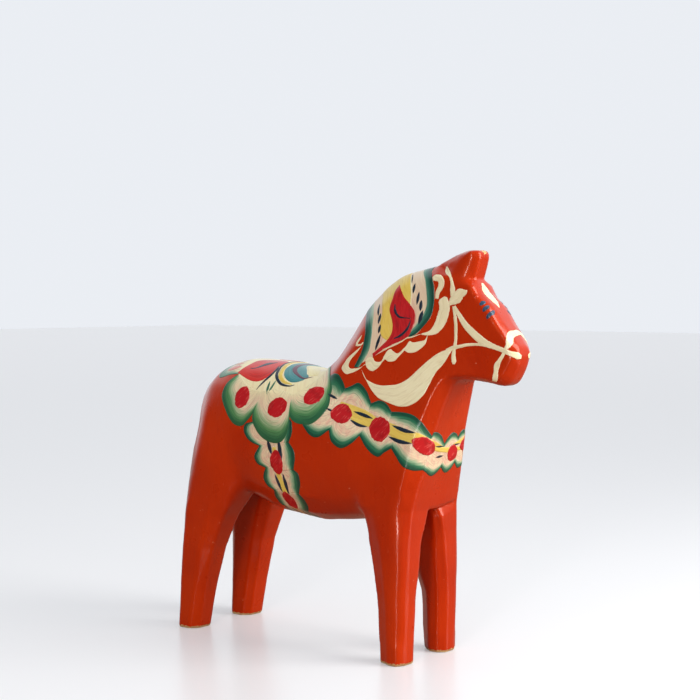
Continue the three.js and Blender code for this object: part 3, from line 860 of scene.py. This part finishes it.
def paint_saddle_side(side, word):
    """The red petal beside the spine, and the thin lines under it."""
    petal = Film(f"saddle_petal_{word}", 0.14, 0.07, 20 + side)
    petal.patch(
        trace(side, (-36, 138), (-27, 135), (-20.5, 134), (-16, 135.5),
              (-13.5, -17.5, 139.5), (-13.5, 142), (-13, -4.5, 144)),
        trace(side, (-36, 138), (-33.5, -15.5, 141), (-31, -7.5, 143.5),
              (-25.5, -2.5, 144.5), (-18.5, -1.5, 144.5), (-13, -4.5, 144)),
    )
    petal.piece("saddle_green_enamel", FLOWER_RED)
    lines = Film(f"saddle_lines_{word}", 0.2, 0.05, 24 + side)
    for points, halves in (
        ([(-29.5, 140), (-26, -16, 141), (-22.5, 142.5), (-18, -8.5, 144)], (0.15, 0.6, 1.8, 0.4)),
        ([(-30.5, 140.5), (-27, 140.5), (-23.5, 142)], (0.1, 0.35, 0.5)),
        ([(-14, -11.5, 142.5), (-13, -18, 139), (-15.5, 134.5), (-18.5, 130)],
         (0.2, 0.7, 0.8, 0.6, 0.1)),
    ):
        lines.stroke([on_coat(p, side) for p in points], halves)
    lines.piece("saddle_green_enamel", DASH)
    leaves = Film(f"saddle_leaf_marks_{word}", 0.2, 0.05, 28 + side)
    leaves.stroke(
        [on_coat(p, side) for p in ((-12, 134.5), (-11, 129.5), (-10, 126.5))],
        (0.15, 0.65, 0.7, 0.5, 0.1),
    )
    leaves.stroke([on_coat(p, side) for p in ((-8.5, 135), (-10, 127.5))], leaf_halves(0.6))
    leaves.piece("saddle_green_enamel", FINE_GREEN)


def paint_saddle_top():
    """Arcs across the spine: a dark line, a yellow strip, a teal crescent round yellow."""
    teal_rear = over_top(
        (7, -17.5, 136), (4.5, -19, 135), (0.5, -19.5, 134.5), (-4.5, -18.5, 137),
        (-8, -14.5, 140), (-9, -8, 143), (-9.5, 0, 143),
    )
    teal_front = over_top(
        (8, -14, 137), (7.5, -13.5, 138), (5, -12, 138.5), (2.5, -9, 140.5),
        (-1, -5, 142), (-3, -2, 142.5), (-3.5, 0, 142.5),
    )
    teal = Film("saddle_teal_crescent", 0.15, 0.07, 31)
    teal.patch(trace(RIGHT, *teal_rear), trace(RIGHT, *teal_front))
    teal.piece("saddle_green_enamel", TEAL)

    yellow = Film("saddle_yellow", 0.14, 0.06, 33)
    patch_front = over_top((12, -11.5, 137.5), (9.5, -7, 140), (7, -3, 141.5), (6, 0, 142))
    patch_rear = over_top((7.5, -13.5, 137.5), (3.5, -9.5, 140), (-1, -4.5, 142), (-3, 0, 142.5))
    yellow.patch(trace(RIGHT, *patch_rear), trace(RIGHT, *patch_front))
    yellow.piece("saddle_green_enamel", PALE_YELLOW)

    strip = Film("saddle_yellow_arc", 0.14, 0.06, 32)
    arc = over_top(
        (2, -20.5, 133.5), (-3.5, -20, 134.5), (-7.5, -18.5, 137.5), (-10, -13, 141),
        (-11, -8.5, 143), (-11.5, 0, 143),
    )
    strip.stroke([on_coat(p, RIGHT) for p in arc], (0.2, 0.9, 1.1, 1.0, 0.9, 0.8, 0.9, 1.0, 1.1, 0.9, 0.2))
    strip.piece("saddle_green_enamel", YELLOW)

    dark = Film("saddle_arc_line", 0.2, 0.05, 35)
    arc = over_top(
        (3.5, -20, 133), (1, -21, 132.5), (-5, -21, 133.5), (-9.5, -19, 137),
        (-12, -14, 140.5), (-13, -9, 143), (-13.5, 0, 143.5),
    )
    dark.stroke([on_coat(p, RIGHT) for p in arc], (0.15, 0.7, 0.8, 0.8, 0.5, 0.4, 0.5, 0.8, 0.8, 0.7, 0.15))
    dark.piece("saddle_green_enamel", DASH)

    purple = Film("saddle_purple_line", 0.24, 0.05, 37)
    arc = over_top(
        (10, -13.5, 137), (6.5, -16, 136.5), (0.5, -14.5, 138.5), (-4, -11, 140.5),
        (-5.5, -5.5, 142.5), (-6, 0, 142.5),
    )
    purple.stroke([on_coat(p, RIGHT) for p in arc], (0.1, 0.5, 0.9, 1.3, 1.2, 0.9, 1.2, 1.3, 0.9, 0.5, 0.1))
    purple.piece("saddle_green_enamel", PURPLE)


# The breast band: scallops above and below one middle line, from the saddle round the chest.
BAND_MIDDLE = [
    (16, 125), (25.5, 125.5), (36, 120.5), (47, 118), (59, 114),
    (70, 112), (78.5, 110), (82.5, 107), (84.5, -10.5, 105), (84, 0, 103.5),
    (84.5, 10.5, 104), (82.5, 17, 107),
]
BAND_UPPER = (
    [(22.5, 138.5), (26, 139.5), (29.5, 139), (32.5, 136), (34.5, 132.5)],
    [(34.5, 132.5), (38.5, 134), (43, 135.5), (48, 132), (52, 126)],
    [(52, 126), (57, 127.5), (61.5, 126), (65, 122.5)],
    [(65, 122.5), (71.5, 122.5), (79, 121), (83, 117.5), (85, 111.5)],
)
BAND_LOWER = (
    [(14.5, 113.5), (19.5, 109), (24, 108), (30.5, 112)],
    [(30.5, 112), (32.5, 106.5), (38, 103.5), (44, 106), (48, 110)],
    [(48, 110), (53, 104), (59.5, 100.5), (63.5, 103), (67, 105)],
    [(67, 105), (74, 97.5), (78.5, 95), (81.5, 95)],
)
CHEST_UPPER = (
    [(85, 111.5), (86, -13.5, 113), (86, -10.5, 113), (85.5, -6.5, 111), (84.5, -3, 107)],
    [(84.5, -3, 107), (85.5, -0.5, 110), (85.5, 2.5, 112), (85.5, 5.5, 111.5), (85.5, 8, 109.5)],
    [(85.5, 8, 109.5), (86, 9.5, 112), (86, 11.5, 113), (85, 14.5, 111.5)],
)
CHEST_LOWER = (
    [(81.5, 95), (81, -9.5, 91.5), (81.5, -5, 93), (82.5, -2.5, 95)],
    [(82.5, -2.5, 95), (81.5, 2, 92), (82, 6, 93.5), (82.5, 8.5, 96.5)],
    [(82.5, 8.5, 96.5), (82, 12, 93.5), (81.5, 16.5, 95)],
)
BAND_STRIP_TOP = [
    (33.5, 126), (43, 124), (50.5, 122), (57, 119), (65.5, 117),
    (76, 114), (81.5, 113), (84.5, 110), (84.5, -9.5, 108), (84.5, -4.5, 106),
]
BAND_STRIP_LOW = [
    (31.5, 121), (41, 118), (45.5, 115.5), (52, 114.5), (64, 111.5),
    (70, 109), (79.5, 108), (84, 106), (84.5, -9.5, 106), (84.5, -4.5, 105.5),
]
BAND_DASHES = (
    (((24, 129.5), (31, 127)), 0.75),
    (((26.5, 122.5), (31, 121)), 0.55),
    (((42, 121.5), (48.5, 120), (54.5, 118.5)), 0.9),
    (((41, 117.5), (47, 115), (51.5, 114.5)), 0.8),
    (((66, 116), (74, 114), (80.5, 113)), 1.0),
    (((64.5, 110.5), (72.5, 108.5), (79, 108)), 1.0),
    (((84.5, -10.5, 106), (84.5, -3, 105.5)), 0.45),
    (((83.5, -8.5, 100.5), (83.5, -2.5, 101)), 0.6),
)


def nearest_share(line, point):
    """How far along a polyline its nearest place to a point lies, from 0 to 1."""
    lengths = arc_length(line)
    return lengths[np.argmin(np.linalg.norm(line - np.array(point), axis=1))] / lengths[-1]


def lobes_along(film, middle, side, lobes, green):
    """Scallops that reach from their outer edges in to the middle line they share."""
    dense = resampled(middle, 400)
    for points in lobes:
        outer = trace(side, *points)
        first, last = (int(399 * nearest_share(middle, outer[k])) for k in (0, -1))
        if last <= first + 4:
            last = min(first + 5, 399)
        film.patch(outer, dense[first : last + 1], green=green)


def paint_breast_band():
    edge_green = (2.6, 4.4, 4.9, 4.2, 2.2)
    for side, word in SIDES:
        middle = trace(side, *BAND_MIDDLE)
        upper = Film(f"breast_band_upper_{word}", 0.05, 0.06, 40 + side)
        lobes_along(upper, middle, side, BAND_UPPER[:1], (8, 8, 8, 7, 4))
        lobes_along(upper, middle, side, BAND_UPPER[1:], edge_green)
        upper.piece("band_green_enamel", BAND_EDGE, *(["breast_band_paint"] if side == RIGHT else []))
        lower = Film(f"breast_band_lower_{word}", 0.065, 0.06, 46 + side)
        lobes_along(lower, middle, side, BAND_LOWER, edge_green)
        lower.piece("band_green_enamel", BAND_EDGE)
        strip = Film(f"breast_band_strip_{word}", 0.12, 0.05, 52 + side)
        strip.patch(trace(side, *BAND_STRIP_TOP), trace(side, *BAND_STRIP_LOW))
        strip.piece("band_green_enamel", YELLOW)
        dots = Film(f"breast_band_dots_{word}", 0.2, 0.1, 56 + side)
        for ends, half in (
            (((29.5, 121), (42, 119.5)), 5.2),
            (((52.5, 114.5), (65.5, 113)), 6.1),
            (((78.5, 109.5), (82.5, 107), (84.5, -10.5, 104)), 4.1),
        ):
            dots.stroke([on_coat(p, side) for p in ends], round_halves(half), jitter=0.3)
        dots.piece("band_green_enamel", DOT)
        dashes = Film(f"breast_band_dashes_{word}", 0.19, 0.05, 60 + side)
        for points, half in BAND_DASHES:
            dashes.stroke([on_coat(p, side) for p in points], leaf_halves(half))
        dashes.piece("band_green_enamel", DASH)
    middle = trace(RIGHT, *BAND_MIDDLE)
    chest = Film("breast_band_chest", 0.05, 0.06, 64)
    lobes_along(chest, middle, RIGHT, CHEST_UPPER, (2, 3, 3, 1.8))
    lobes_along(chest, middle, RIGHT, CHEST_LOWER, (2, 3, 3, 1.8))
    chest.piece("band_green_enamel", BAND_EDGE)
    strip = Film("breast_band_chest_strip", 0.12, 0.05, 66)
    strip.stroke([on_coat(p, RIGHT) for p in ((84.5, -12, 105), (84, 1, 103.5), (84.5, 12, 103.5))],
                 (0.9, 1.25, 1.3, 1.25, 0.9))
    strip.piece("band_green_enamel", YELLOW)
    dot = Film("breast_band_chest_dot", 0.2, 0.1, 68)
    dot.stroke([on_coat(p, RIGHT) for p in ((84.5, 5.5, 106), (83.5, 4.5, 97.5))], round_halves(4.2), jitter=0.3)
    dot.piece("band_green_enamel", DOT)


# The girth: scallops before and behind a line that runs down the side and under the belly.
GIRTH_MIDDLE = [
    (-5.5, 112), (-3.5, 101.5), (-2.5, 93.5), (-1, 85.5), (0.5, 79.5),
    (0.5, 74), (1.5, -16, 69.5), (1, -8, 66), (1, 0, 65.5),
]
GIRTH_REAR = (
    [(-17.5, 114), (-23.5, 112), (-24, 108), (-20.5, 104), (-13.5, 101.5)],
    [(-13.5, 101.5), (-17, 96), (-15.5, 92.5), (-10, 90.5)],
    [(-10, 90.5), (-12.5, 85), (-10.5, 81), (-7, 79)],
    [(-7, 79), (-8.5, 75), (-7.5, 71.5), (-6, 70)],
    [(-6, 70), (-9, -13, 67), (-9, -8.5, 66), (-6, -5.5, 65.5)],
)
GIRTH_FRONT = (
    [(3.5, 116.5), (7, 115.5), (8, 113), (8, 109), (6, 104.5)],
    [(6, 104.5), (9, 101), (10, 97.5), (9, 91)],
    [(9, 91), (11.5, 89), (12, 84.5), (10, 78.5)],
    [(10, 78.5), (12, 75), (12, 71), (8.5, 67.5)],
    [(8.5, 67.5), (11.5, 66), (11.5, -8, 66), (8.5, -5, 65.5)],
)
GIRTH_UNDER = (
    [(-6, -5.5, 65.5), (-9, -2.5, 65.5), (-9, 2.5, 65.5), (-6, 5.5, 65.5)],
    [(8.5, -5, 65.5), (11.5, -2, 65.5), (11.5, 2, 65.5), (8.5, 5, 65.5)],
)
GIRTH_DASHES = (
    (((-8, 105), (-5, 97.5)), 1.2),
    (((-1, 106), (1.5, 95)), 1.25),
    (((-4, 88), (-1, 78.5)), 0.95),
    (((1.5, 88.5), (3, 77.5)), 1.05),
    (((-1.5, 69.5), (-1.5, -7, 66)), 0.6),
    (((4.5, 68.5), (4, -7, 66)), 0.6),
)


def paint_girth():
    edge_green = (2.0, 3.7, 4.0, 3.4, 1.8)
    for side, word in SIDES:
        middle = trace(side, *GIRTH_MIDDLE)
        band = Film(f"girth_lobes_{word}", 0.03, 0.05, 70 + side)
        lobes_along(band, middle, side, GIRTH_REAR, edge_green)
        lobes_along(band, middle, side, GIRTH_FRONT, (2.4, 4.6, 5.2, 4.6, 2.4))
        band.piece("girth_green_enamel", GIRTH_EDGE, *(["girth_band_paint"] if side == RIGHT else []))
        line = Film(f"girth_strip_{word}", 0.09, 0.05, 74 + side)
        line.stroke([on_coat(p, side) for p in GIRTH_MIDDLE[1:]], (1.2, 1.5, 1.6, 1.6, 1.5, 1.4, 1.4))
        line.piece("girth_green_enamel", YELLOW)
        dots = Film(f"girth_dots_{word}", 0.15, 0.09, 78 + side)
        for ends, half in (
            (((-3, 100.5), (-2, 94), (-1, 87.5)), 4.1),
            (((0.5, 79), (1, 74), (3.5, 69.5)), 3.7),
        ):
            dots.stroke([on_coat(p, side) for p in ends], round_halves(half), jitter=0.3)
        dots.piece("girth_green_enamel", DOT)
        dashes = Film(f"girth_dashes_{word}", 0.15, 0.05, 82 + side)
        for points, half in GIRTH_DASHES:
            dashes.stroke([on_coat(p, side) for p in points], leaf_halves(half))
        dashes.piece("girth_green_enamel", DASH)
    under = Film("girth_lobes_under", 0.045, 0.05, 86)
    middle = trace(RIGHT, (1, -8, 66), (1, 0, 65.5), (1, 8, 66))
    for lobe in GIRTH_UNDER:
        lobes_along(under, middle, RIGHT, [lobe], edge_green)
    under.piece("girth_green_enamel", GIRTH_EDGE)
    dot = Film("girth_dot_under", 0.15, 0.09, 88)
    dot.stroke([on_coat(p, RIGHT) for p in ((1, -4.5, 65.5), (1, 4.5, 65.5))], round_halves(3.2))
    dot.piece("girth_green_enamel", DOT)


# The mane lies over the crest of the neck, from the shoulder to the ear.
MANE_REAR_OUTER = over_top(
    (39, -16.5, 143), (41, -15.5, 146.5), (43.5, -15.5, 151.5), (44.5, -15, 156.5), (44.5, -14.5, 160.5),
    (43, -12, 165),
    (39, -6, 170), (37.5, 0, 171.5),
)
MANE_REAR_INNER = over_top(
    (42, -16, 143), (46, -15.5, 148), (48, -15.5, 152), (49, -15, 157.5), (49, -14, 164.5),
    (48, -12, 170),
    (45, -7, 174), (43, 0, 176.5),
)
MANE_FRONT_OUTER = over_top(
    (70, -13, 158), (74.5, -12.5, 160), (78, -11.5, 163.5), (82, -11, 168.5), (83.5, -10.5, 174.5),
    (83.5, -10, 182), (82.5, -10, 186), (79.5, -6, 190.5), (78.5, 0, 192),
)
MANE_FRONT_INNER = over_top(
    (71.5, -12.5, 161.5), (75, -12, 166), (78, -11, 170), (79.5, -11, 174.5), (79, -10.5, 180.5),
    (77.5, -10, 186), (73.5, -5, 190), (72.5, 0, 190.5),
)
MANE_YELLOW_REAR = over_top(
    (59.5, -14, 156), (55, -14, 158.5), (53.5, -14, 163.5), (54, -13, 171), (50.5, -8, 177.5),
    (48.5, 0, 179.5),
)
MANE_YELLOW_FRONT = over_top(
    (66, -13.5, 157), (70.5, -12, 168), (70.5, -11.5, 175), (70.5, -11, 181), (66, -5, 188.5),
    (64.5, 0, 189),
)
FLAME_REAR = [
    (61.5, -9, 184.5), (60, 181), (59.5, 177), (58.5, 172), (60, 167.5),
    (61, 164), (60.5, 160), (58, 156.5), (54, 153), (50, 150),
]
FLAME_FRONT = [
    (61.5, -9, 184.5), (64, 181.5), (67, 177.5), (70.5, 174), (73, 170.5),
    (73.5, 167), (72.5, 163.5), (70, 158.5), (66, 156.5), (61, 154.5),
    (56, 152), (50.5, 148.5),
]
MANE_DASHES = (
    (((50.5, 174.5), (52, 168.5)), 0.8), (((53.5, 170), (52.5, 164.5)), 0.8),
    (((54, 164.5), (53, 160)), 0.8), (((54.5, 160), (51.5, 151.5)), 0.8),
    (((67.5, -4, 187.5), (70, -8.5, 183.5)), 0.6), (((72, 184.5), (71.5, 179.5)), 0.8),
    (((75, 180.5), (74, 174)), 0.8), (((76.5, 176.5), (76, 171)), 0.95),
    (((77.5, 171.5), (75.5, 164.5)), 1.1),
)


def paint_mane():
    ground = Film("mane_ground", 0.04, 0.05, 90)
    ground.patch(trace(RIGHT, *MANE_REAR_OUTER), trace(RIGHT, *MANE_FRONT_OUTER))
    ground.piece("mane_yellow_enamel", MANE_CREAM, "mane_paint")
    rear = Film("mane_edge_rear", 0.09, 0.05, 92)
    rear.patch(trace(RIGHT, *MANE_REAR_OUTER), trace(RIGHT, *MANE_REAR_INNER),
               green=(3.5, 4.5, 6, 6, 6, 6, 6, 6, 6, 4.5, 3.5))
    rear.piece("mane_yellow_enamel", MANE_EDGE)
    front = Film("mane_edge_front", 0.09, 0.05, 94)
    front.patch(trace(RIGHT, *MANE_FRONT_OUTER), trace(RIGHT, *MANE_FRONT_INNER),
                green=(3.5, 5, 6.5, 7, 7, 7, 7, 7, 6.5, 5, 3.5))
    front.piece("mane_yellow_enamel", MANE_EDGE)
    yellow = Film("mane_yellow_field", 0.1, 0.05, 96)
    yellow.patch(trace(RIGHT, *MANE_YELLOW_REAR), trace(RIGHT, *MANE_YELLOW_FRONT))
    yellow.piece("mane_yellow_enamel", YELLOW)
    for side, word in SIDES:
        flame = Film(f"mane_flame_{word}", 0.16, 0.07, 98 + side)
        flame.patch(trace(side, *FLAME_REAR), trace(side, *FLAME_FRONT))
        flame.piece("mane_yellow_enamel", RED)
        lines = Film(f"mane_dashes_{word}", 0.15, 0.05, 102 + side)
        for points, half in MANE_DASHES:
            lines.stroke([on_coat(p, side) for p in points], leaf_halves(half))
        for points, halves in (
            (((61.5, 174.5), (62, 171), (64, 168.5), (71, 167.5)), (0.2, 0.7, 0.6, 0.25, 0.2)),
            (((71, 166.5), (69.5, 162.5), (65.5, 159), (62, 157.5)), (0.2, 0.7, 0.6, 0.2)),
        ):
            lines.stroke([on_coat(p, side) for p in points], halves, level=0.24)
        lines.piece("mane_yellow_enamel", DASH)
        line = Film(f"mane_cream_line_{word}", 0.17, 0.05, 106 + side)
        line.stroke([on_coat(p, side) for p in ((67.5, -6, 188), (70.5, 181), (70.5, 173.5))],
                    (0.25, 0.4, 0.4, 0.2))
        line.stroke([on_coat(p, side) for p in MANE_BOTTOM], (0.1, 0.25, 0.2, 0.3, 0.3, 0.1))
        line.piece("mane_yellow_enamel", CREAM)


MANE_BOTTOM = (
    (53, 151), (57, 152.5), (63, 154.5), (67, 156.5), (69, 158), (72, 158.5), (77, 160),
)

# Cream shapes of the neck, each between two edges: the flourish's three scoops, and the hooks.
FLOURISH = (
    ([(81, 160.5), (80, 158), (79, 157), (76.5, 156.5), (73, 156), (71, 156.5), (69.5, 154.5), (67.5, 152.5)],
     [(81, 160.5), (80.5, 157.5), (80, 155.5), (77.5, 153), (75, 151.5), (73, 151), (70.5, 151),
      (68.5, 152), (67.5, 152)]),
    ([(68, 153), (66.5, 151.5), (64.5, 150.5), (62, 151.5), (60.5, 152.5), (58.5, 151.5), (57.5, 150),
      (56.5, 148.5)],
     [(68.5, 152), (66.5, 150), (65, 148.5), (63.5, 147), (62, 146.5), (59.5, 146.5), (57.5, 147.5),
      (56.5, 147.5)]),
    ([(57.5, 149.5), (56.5, 148), (55.5, 146.5), (53.5, 146), (51.5, 146.5), (50.5, 148), (49.5, 148.5),
      (47.5, 148), (46, 146.5)],
     [(57.5, 147.5), (56, 146), (54.5, 144), (52, 142), (50.5, 141.5), (48.5, 142), (46.5, 144),
      (46, 146.5)]),
)
HOOKS = (
    ([(42.5, 159), (40.5, 157), (39, 155), (39, 153.5)],
     [(42.5, 158.5), (41.5, 156.5), (40.5, 155), (40.5, 153.5)]),
    ([(43, 153.5), (38.5, 150.5), (35, 148), (32.5, 145), (31, 142.5),
      (32.5, 140.5), (34.5, 139.5), (37, 140), (40, 141), (43, 142.5),
      (46, 145)],
     [(43, 153.5), (39.5, 149.5), (36.5, 146.5), (35.5, 144), (36.5, 142.5),
      (40, 142.5), (42.5, 143), (44, 143.5), (46, 144.5)]),
)
HOOK_ARM = ((39, 154), (41, 154), (43, 154.5), (44, 155.5))

# Cream strokes of the head: a name, the CAD layer each stands for, its centre line and its
# half widths in millimetres.
HEAD_STROKES = (
    ("ear_curl", "ear_curl_paint",
     [((82.5, 186.5), 0.9), ((83.5, 187), 1.6), ((86, 187), 1.8), ((87.5, 185), 1.7),
      ((87, 182.5), 1.5), ((85.5, 180), 1.2), ((85, 177), 0.9)]),
    ("cheek_comma", "cheek_comma_paint",
     [((88, 177.5), 1.5), ((88.5, 176.5), 2.7), ((89.5, 172.5), 2.9), ((88.5, 168.5), 3.0),
      ((87, 165), 2.7), ((84.5, 162), 2.0), ((81.5, 160.5), 1.0), ((77.5, 160), 0.3)]),
    ("ear_leaf", "ear_leaf_paint",
     [((92, 174), 0.4), ((94, 176), 2.1), ((96.5, 177.5), 2.8), ((98.5, 179.5), 2.5),
      ((100.5, 180), 1.6), ((101.5, 180.5), 0.8), ((102, 181), 0.2)]),
    ("ear_stem", "ear_stem_paint",
     [((94, 178), 1.2), ((94, 181), 1.5), ((93.5, 184.5), 0.8), ((92, 187.5), 0.6),
      ((89.5, 189.5), 1.3), ((88, -6, 191), 1.3), ((87.5, -5.5, 192.5), 0.5)]),
    ("rein_thin", "bridle_paint",
     [((91.5, 152), 1.1), ((94.5, 153.5), 1.1), ((98.5, 154.5), 0.8), ((104, 155.5), 0.7),
      ((109.5, 155.5), 0.6), ((113.5, 155), 0.6)]),
    ("cheek_strap", "bridle_paint",
     [((95, 173.5), 0.7), ((98, 169), 1.2), ((101.5, 164.5), 1.6), ((105.5, 161), 1.8),
      ((109.5, 158), 1.9), ((113, 156), 1.6), ((117.5, 154.5), 1.2), ((122, 153), 1.1),
      ((125.5, 151.5), 1.2), ((127.5, -5, 150.5), 1.7), ((128, -3, 150), 0.8)]),
    ("throat_latch", "bridle_paint",
     [((94.5, 173.5), 0.6), ((95.5, 168), 0.9), ((96, 162), 0.9), ((96, 156.5), 0.8),
      ((95.5, 152.5), 0.9), ((95.5, 149.5), 1.1), ((96, 147.5), 1.3), ((96, 146), 0.6)]),
    ("noseband", "bridle_paint",
     [((122, 0, 160.5), 1.6), ((122.5, -2.5, 160.5), 1.8), ((123, -5, 159.5), 2.0), ((124, 157.5), 1.9),
      ((124, 155.5), 1.3), ((123, 154), 0.8), ((121.5, 151), 0.8), ((119.5, 148), 1.0),
      ((118.5, 146), 1.5), ((118, 143), 1.1), ((117.5, 140), 1.4), ((116.5, -8.5, 138), 1.0)]),
)
NOSEBAND_LEFT = [
    ((122, 0, 160.5), 1.6), ((122, -3, 161), 1.4), ((122, -5.5, 160.5), 1.2), ((123, 158.5), 1.3),
]
REIN_LEAF_TOP = [
    (44, 142), (46.5, 138), (54.5, 135), (61.5, 135), (67.5, 136),
    (72, 138.5), (77, 143), (83.5, 148.5), (88, 151.5), (94, 153.5),
]
REIN_LEAF_LOW = [
    (44, 142), (50.5, 133), (55.5, 129), (61, 127), (70.5, 125),
    (77.5, 127), (82, 131), (84, 135), (87, 142), (90.5, 146),
    (94, 152),
]
EYE_STROKES = (
    ("upper", (109, 174), (111, -7, 176)),
    ("middle", (111, 171), (113, -7, 174)),
    ("lower", (113, 167.5), (114.5, -5.5, 171.5)),
)


def paint_neck():
    for side, word in SIDES:
        flourish = Film(f"mane_flourish_{word}", 0.05, 0.1, 108 + side)
        for upper, lower in FLOURISH:
            flourish.patch(trace(side, *upper), trace(side, *lower), jitter=0.06, spacing=0.4)
        flourish.piece("cream_enamel", CREAM, f"mane_flourish_paint_{word}")
        hook = Film(f"mane_hook_{word}", 0.09, 0.09, 112 + side)
        for outer, inner in HOOKS:
            hook.patch(trace(side, *outer), trace(side, *inner), jitter=0.06, spacing=0.4)
        hook.stroke([on_coat(p, side) for p in HOOK_ARM], (0.5, 0.5, 0.4, 0.2), level=0.1)
        hook.piece("cream_enamel", CREAM, f"mane_hook_paint_{word}")


def paint_head():
    for side, word in SIDES:
        done = set()
        for k, (name, layer, line) in enumerate(HEAD_STROKES):
            film = Film(f"{name}_{word}", 0.05 + 0.04 * (k % 3), 0.09, 116 + 3 * k + side)
            if name == "noseband" and side == LEFT:
                line = NOSEBAND_LEFT + line[4:]
            film.stroke([on_coat(p, side) for p, _ in line], [half for _, half in line], spacing=0.4)
            node = f"{layer}_{word}" if layer != "bridle_paint" else layer
            first = node not in done and not (layer == "bridle_paint" and side == LEFT)
            film.piece("cream_enamel", CREAM, *([node] if first else []))
            done.add(node)
        leaf = Film(f"rein_leaf_{word}", 0.05, 0.1, 150 + side)
        leaf.patch(trace(side, *REIN_LEAF_TOP), trace(side, *REIN_LEAF_LOW))
        leaf.piece("cream_enamel", CREAM, f"rein_leaf_paint_{word}")
        for k, (name, start, end) in enumerate(EYE_STROKES):
            eye = Film(f"eye_stroke_{name}_{word}", 0.05, 0.08, 160 + k + 3 * side)
            eye.stroke([on_coat(start, side), on_coat(end, side)], round_halves(1.05, 9), spacing=0.3)
            eye.piece("blue_black_enamel", EYE_BLUE_WITH_PAINTED_HIGHLIGHT, f"eye_stroke_{name}_paint_{word}")
    brow = Film("forehead_leaf", 0.05, 0.09, 170)
    brow.stroke([on_coat(p, RIGHT) for p in ((104, 0, 184.5), (105.5, 0, 181), (108.5, 0, 178), (111.5, 0, 175.5),
                                            (113.5, 0, 172.5))], (0.7, 2.7, 3.0, 2.2, 0.2))
    brow.piece("cream_enamel", CREAM, "forehead_leaf_paint")



# ---- the pieces -------------------------------------------------------------------------------
def build_coat():
    """The red coat: the carved surface as a thin shell, cut off just above the soles."""
    mesh = surface.mesh.copy()
    build = bmesh.new()
    build.from_mesh(mesh)
    bmesh.ops.bisect_plane(
        build,
        geom=build.verts[:] + build.edges[:] + build.faces[:],
        plane_co=(0, 0, COAT_EDGE),
        plane_no=(0, 0, 1),
        clear_inner=True,
    )
    build.to_mesh(mesh)
    build.free()
    shell = bpy.data.objects.new("shell", mesh)
    bpy.context.scene.collection.objects.link(shell)
    modifier = shell.modifiers.new("film", "SOLIDIFY")
    modifier.thickness = COAT_THICKNESS
    modifier.offset = -1
    evaluated = shell.evaluated_get(bpy.context.evaluated_depsgraph_get())
    final = bpy.data.meshes.new_from_object(evaluated)
    bpy.data.objects.remove(shell)
    final.name = "red_coat"
    return new_piece("red_coat", final, "red_enamel", red_coat_material(), "red_ground_coat")


def build_pine():
    """The pine under the coat, whose bare soles stand below the coat's edge."""
    mesh = surface.mesh.copy()
    inside = surface.points - surface.normals() * (COAT_THICKNESS + 0.05 * MM)
    low = surface.points[:, 2] < COAT_EDGE
    inside[low] = surface.points[low]
    inside[low, 2] = np.minimum(surface.points[low, 2], COAT_EDGE)
    mesh.vertices.foreach_set("co", inside.ravel())
    mesh.update()
    return new_piece("carved_pine", mesh, "bare_pine", pine_material(), "carved_pine_body")


build_coat()
build_pine()
paint_girth()
paint_breast_band()
paint_saddle()
paint_mane()
paint_neck()
paint_head()

make_camera()
make_floor()
make_room()
make_lights()
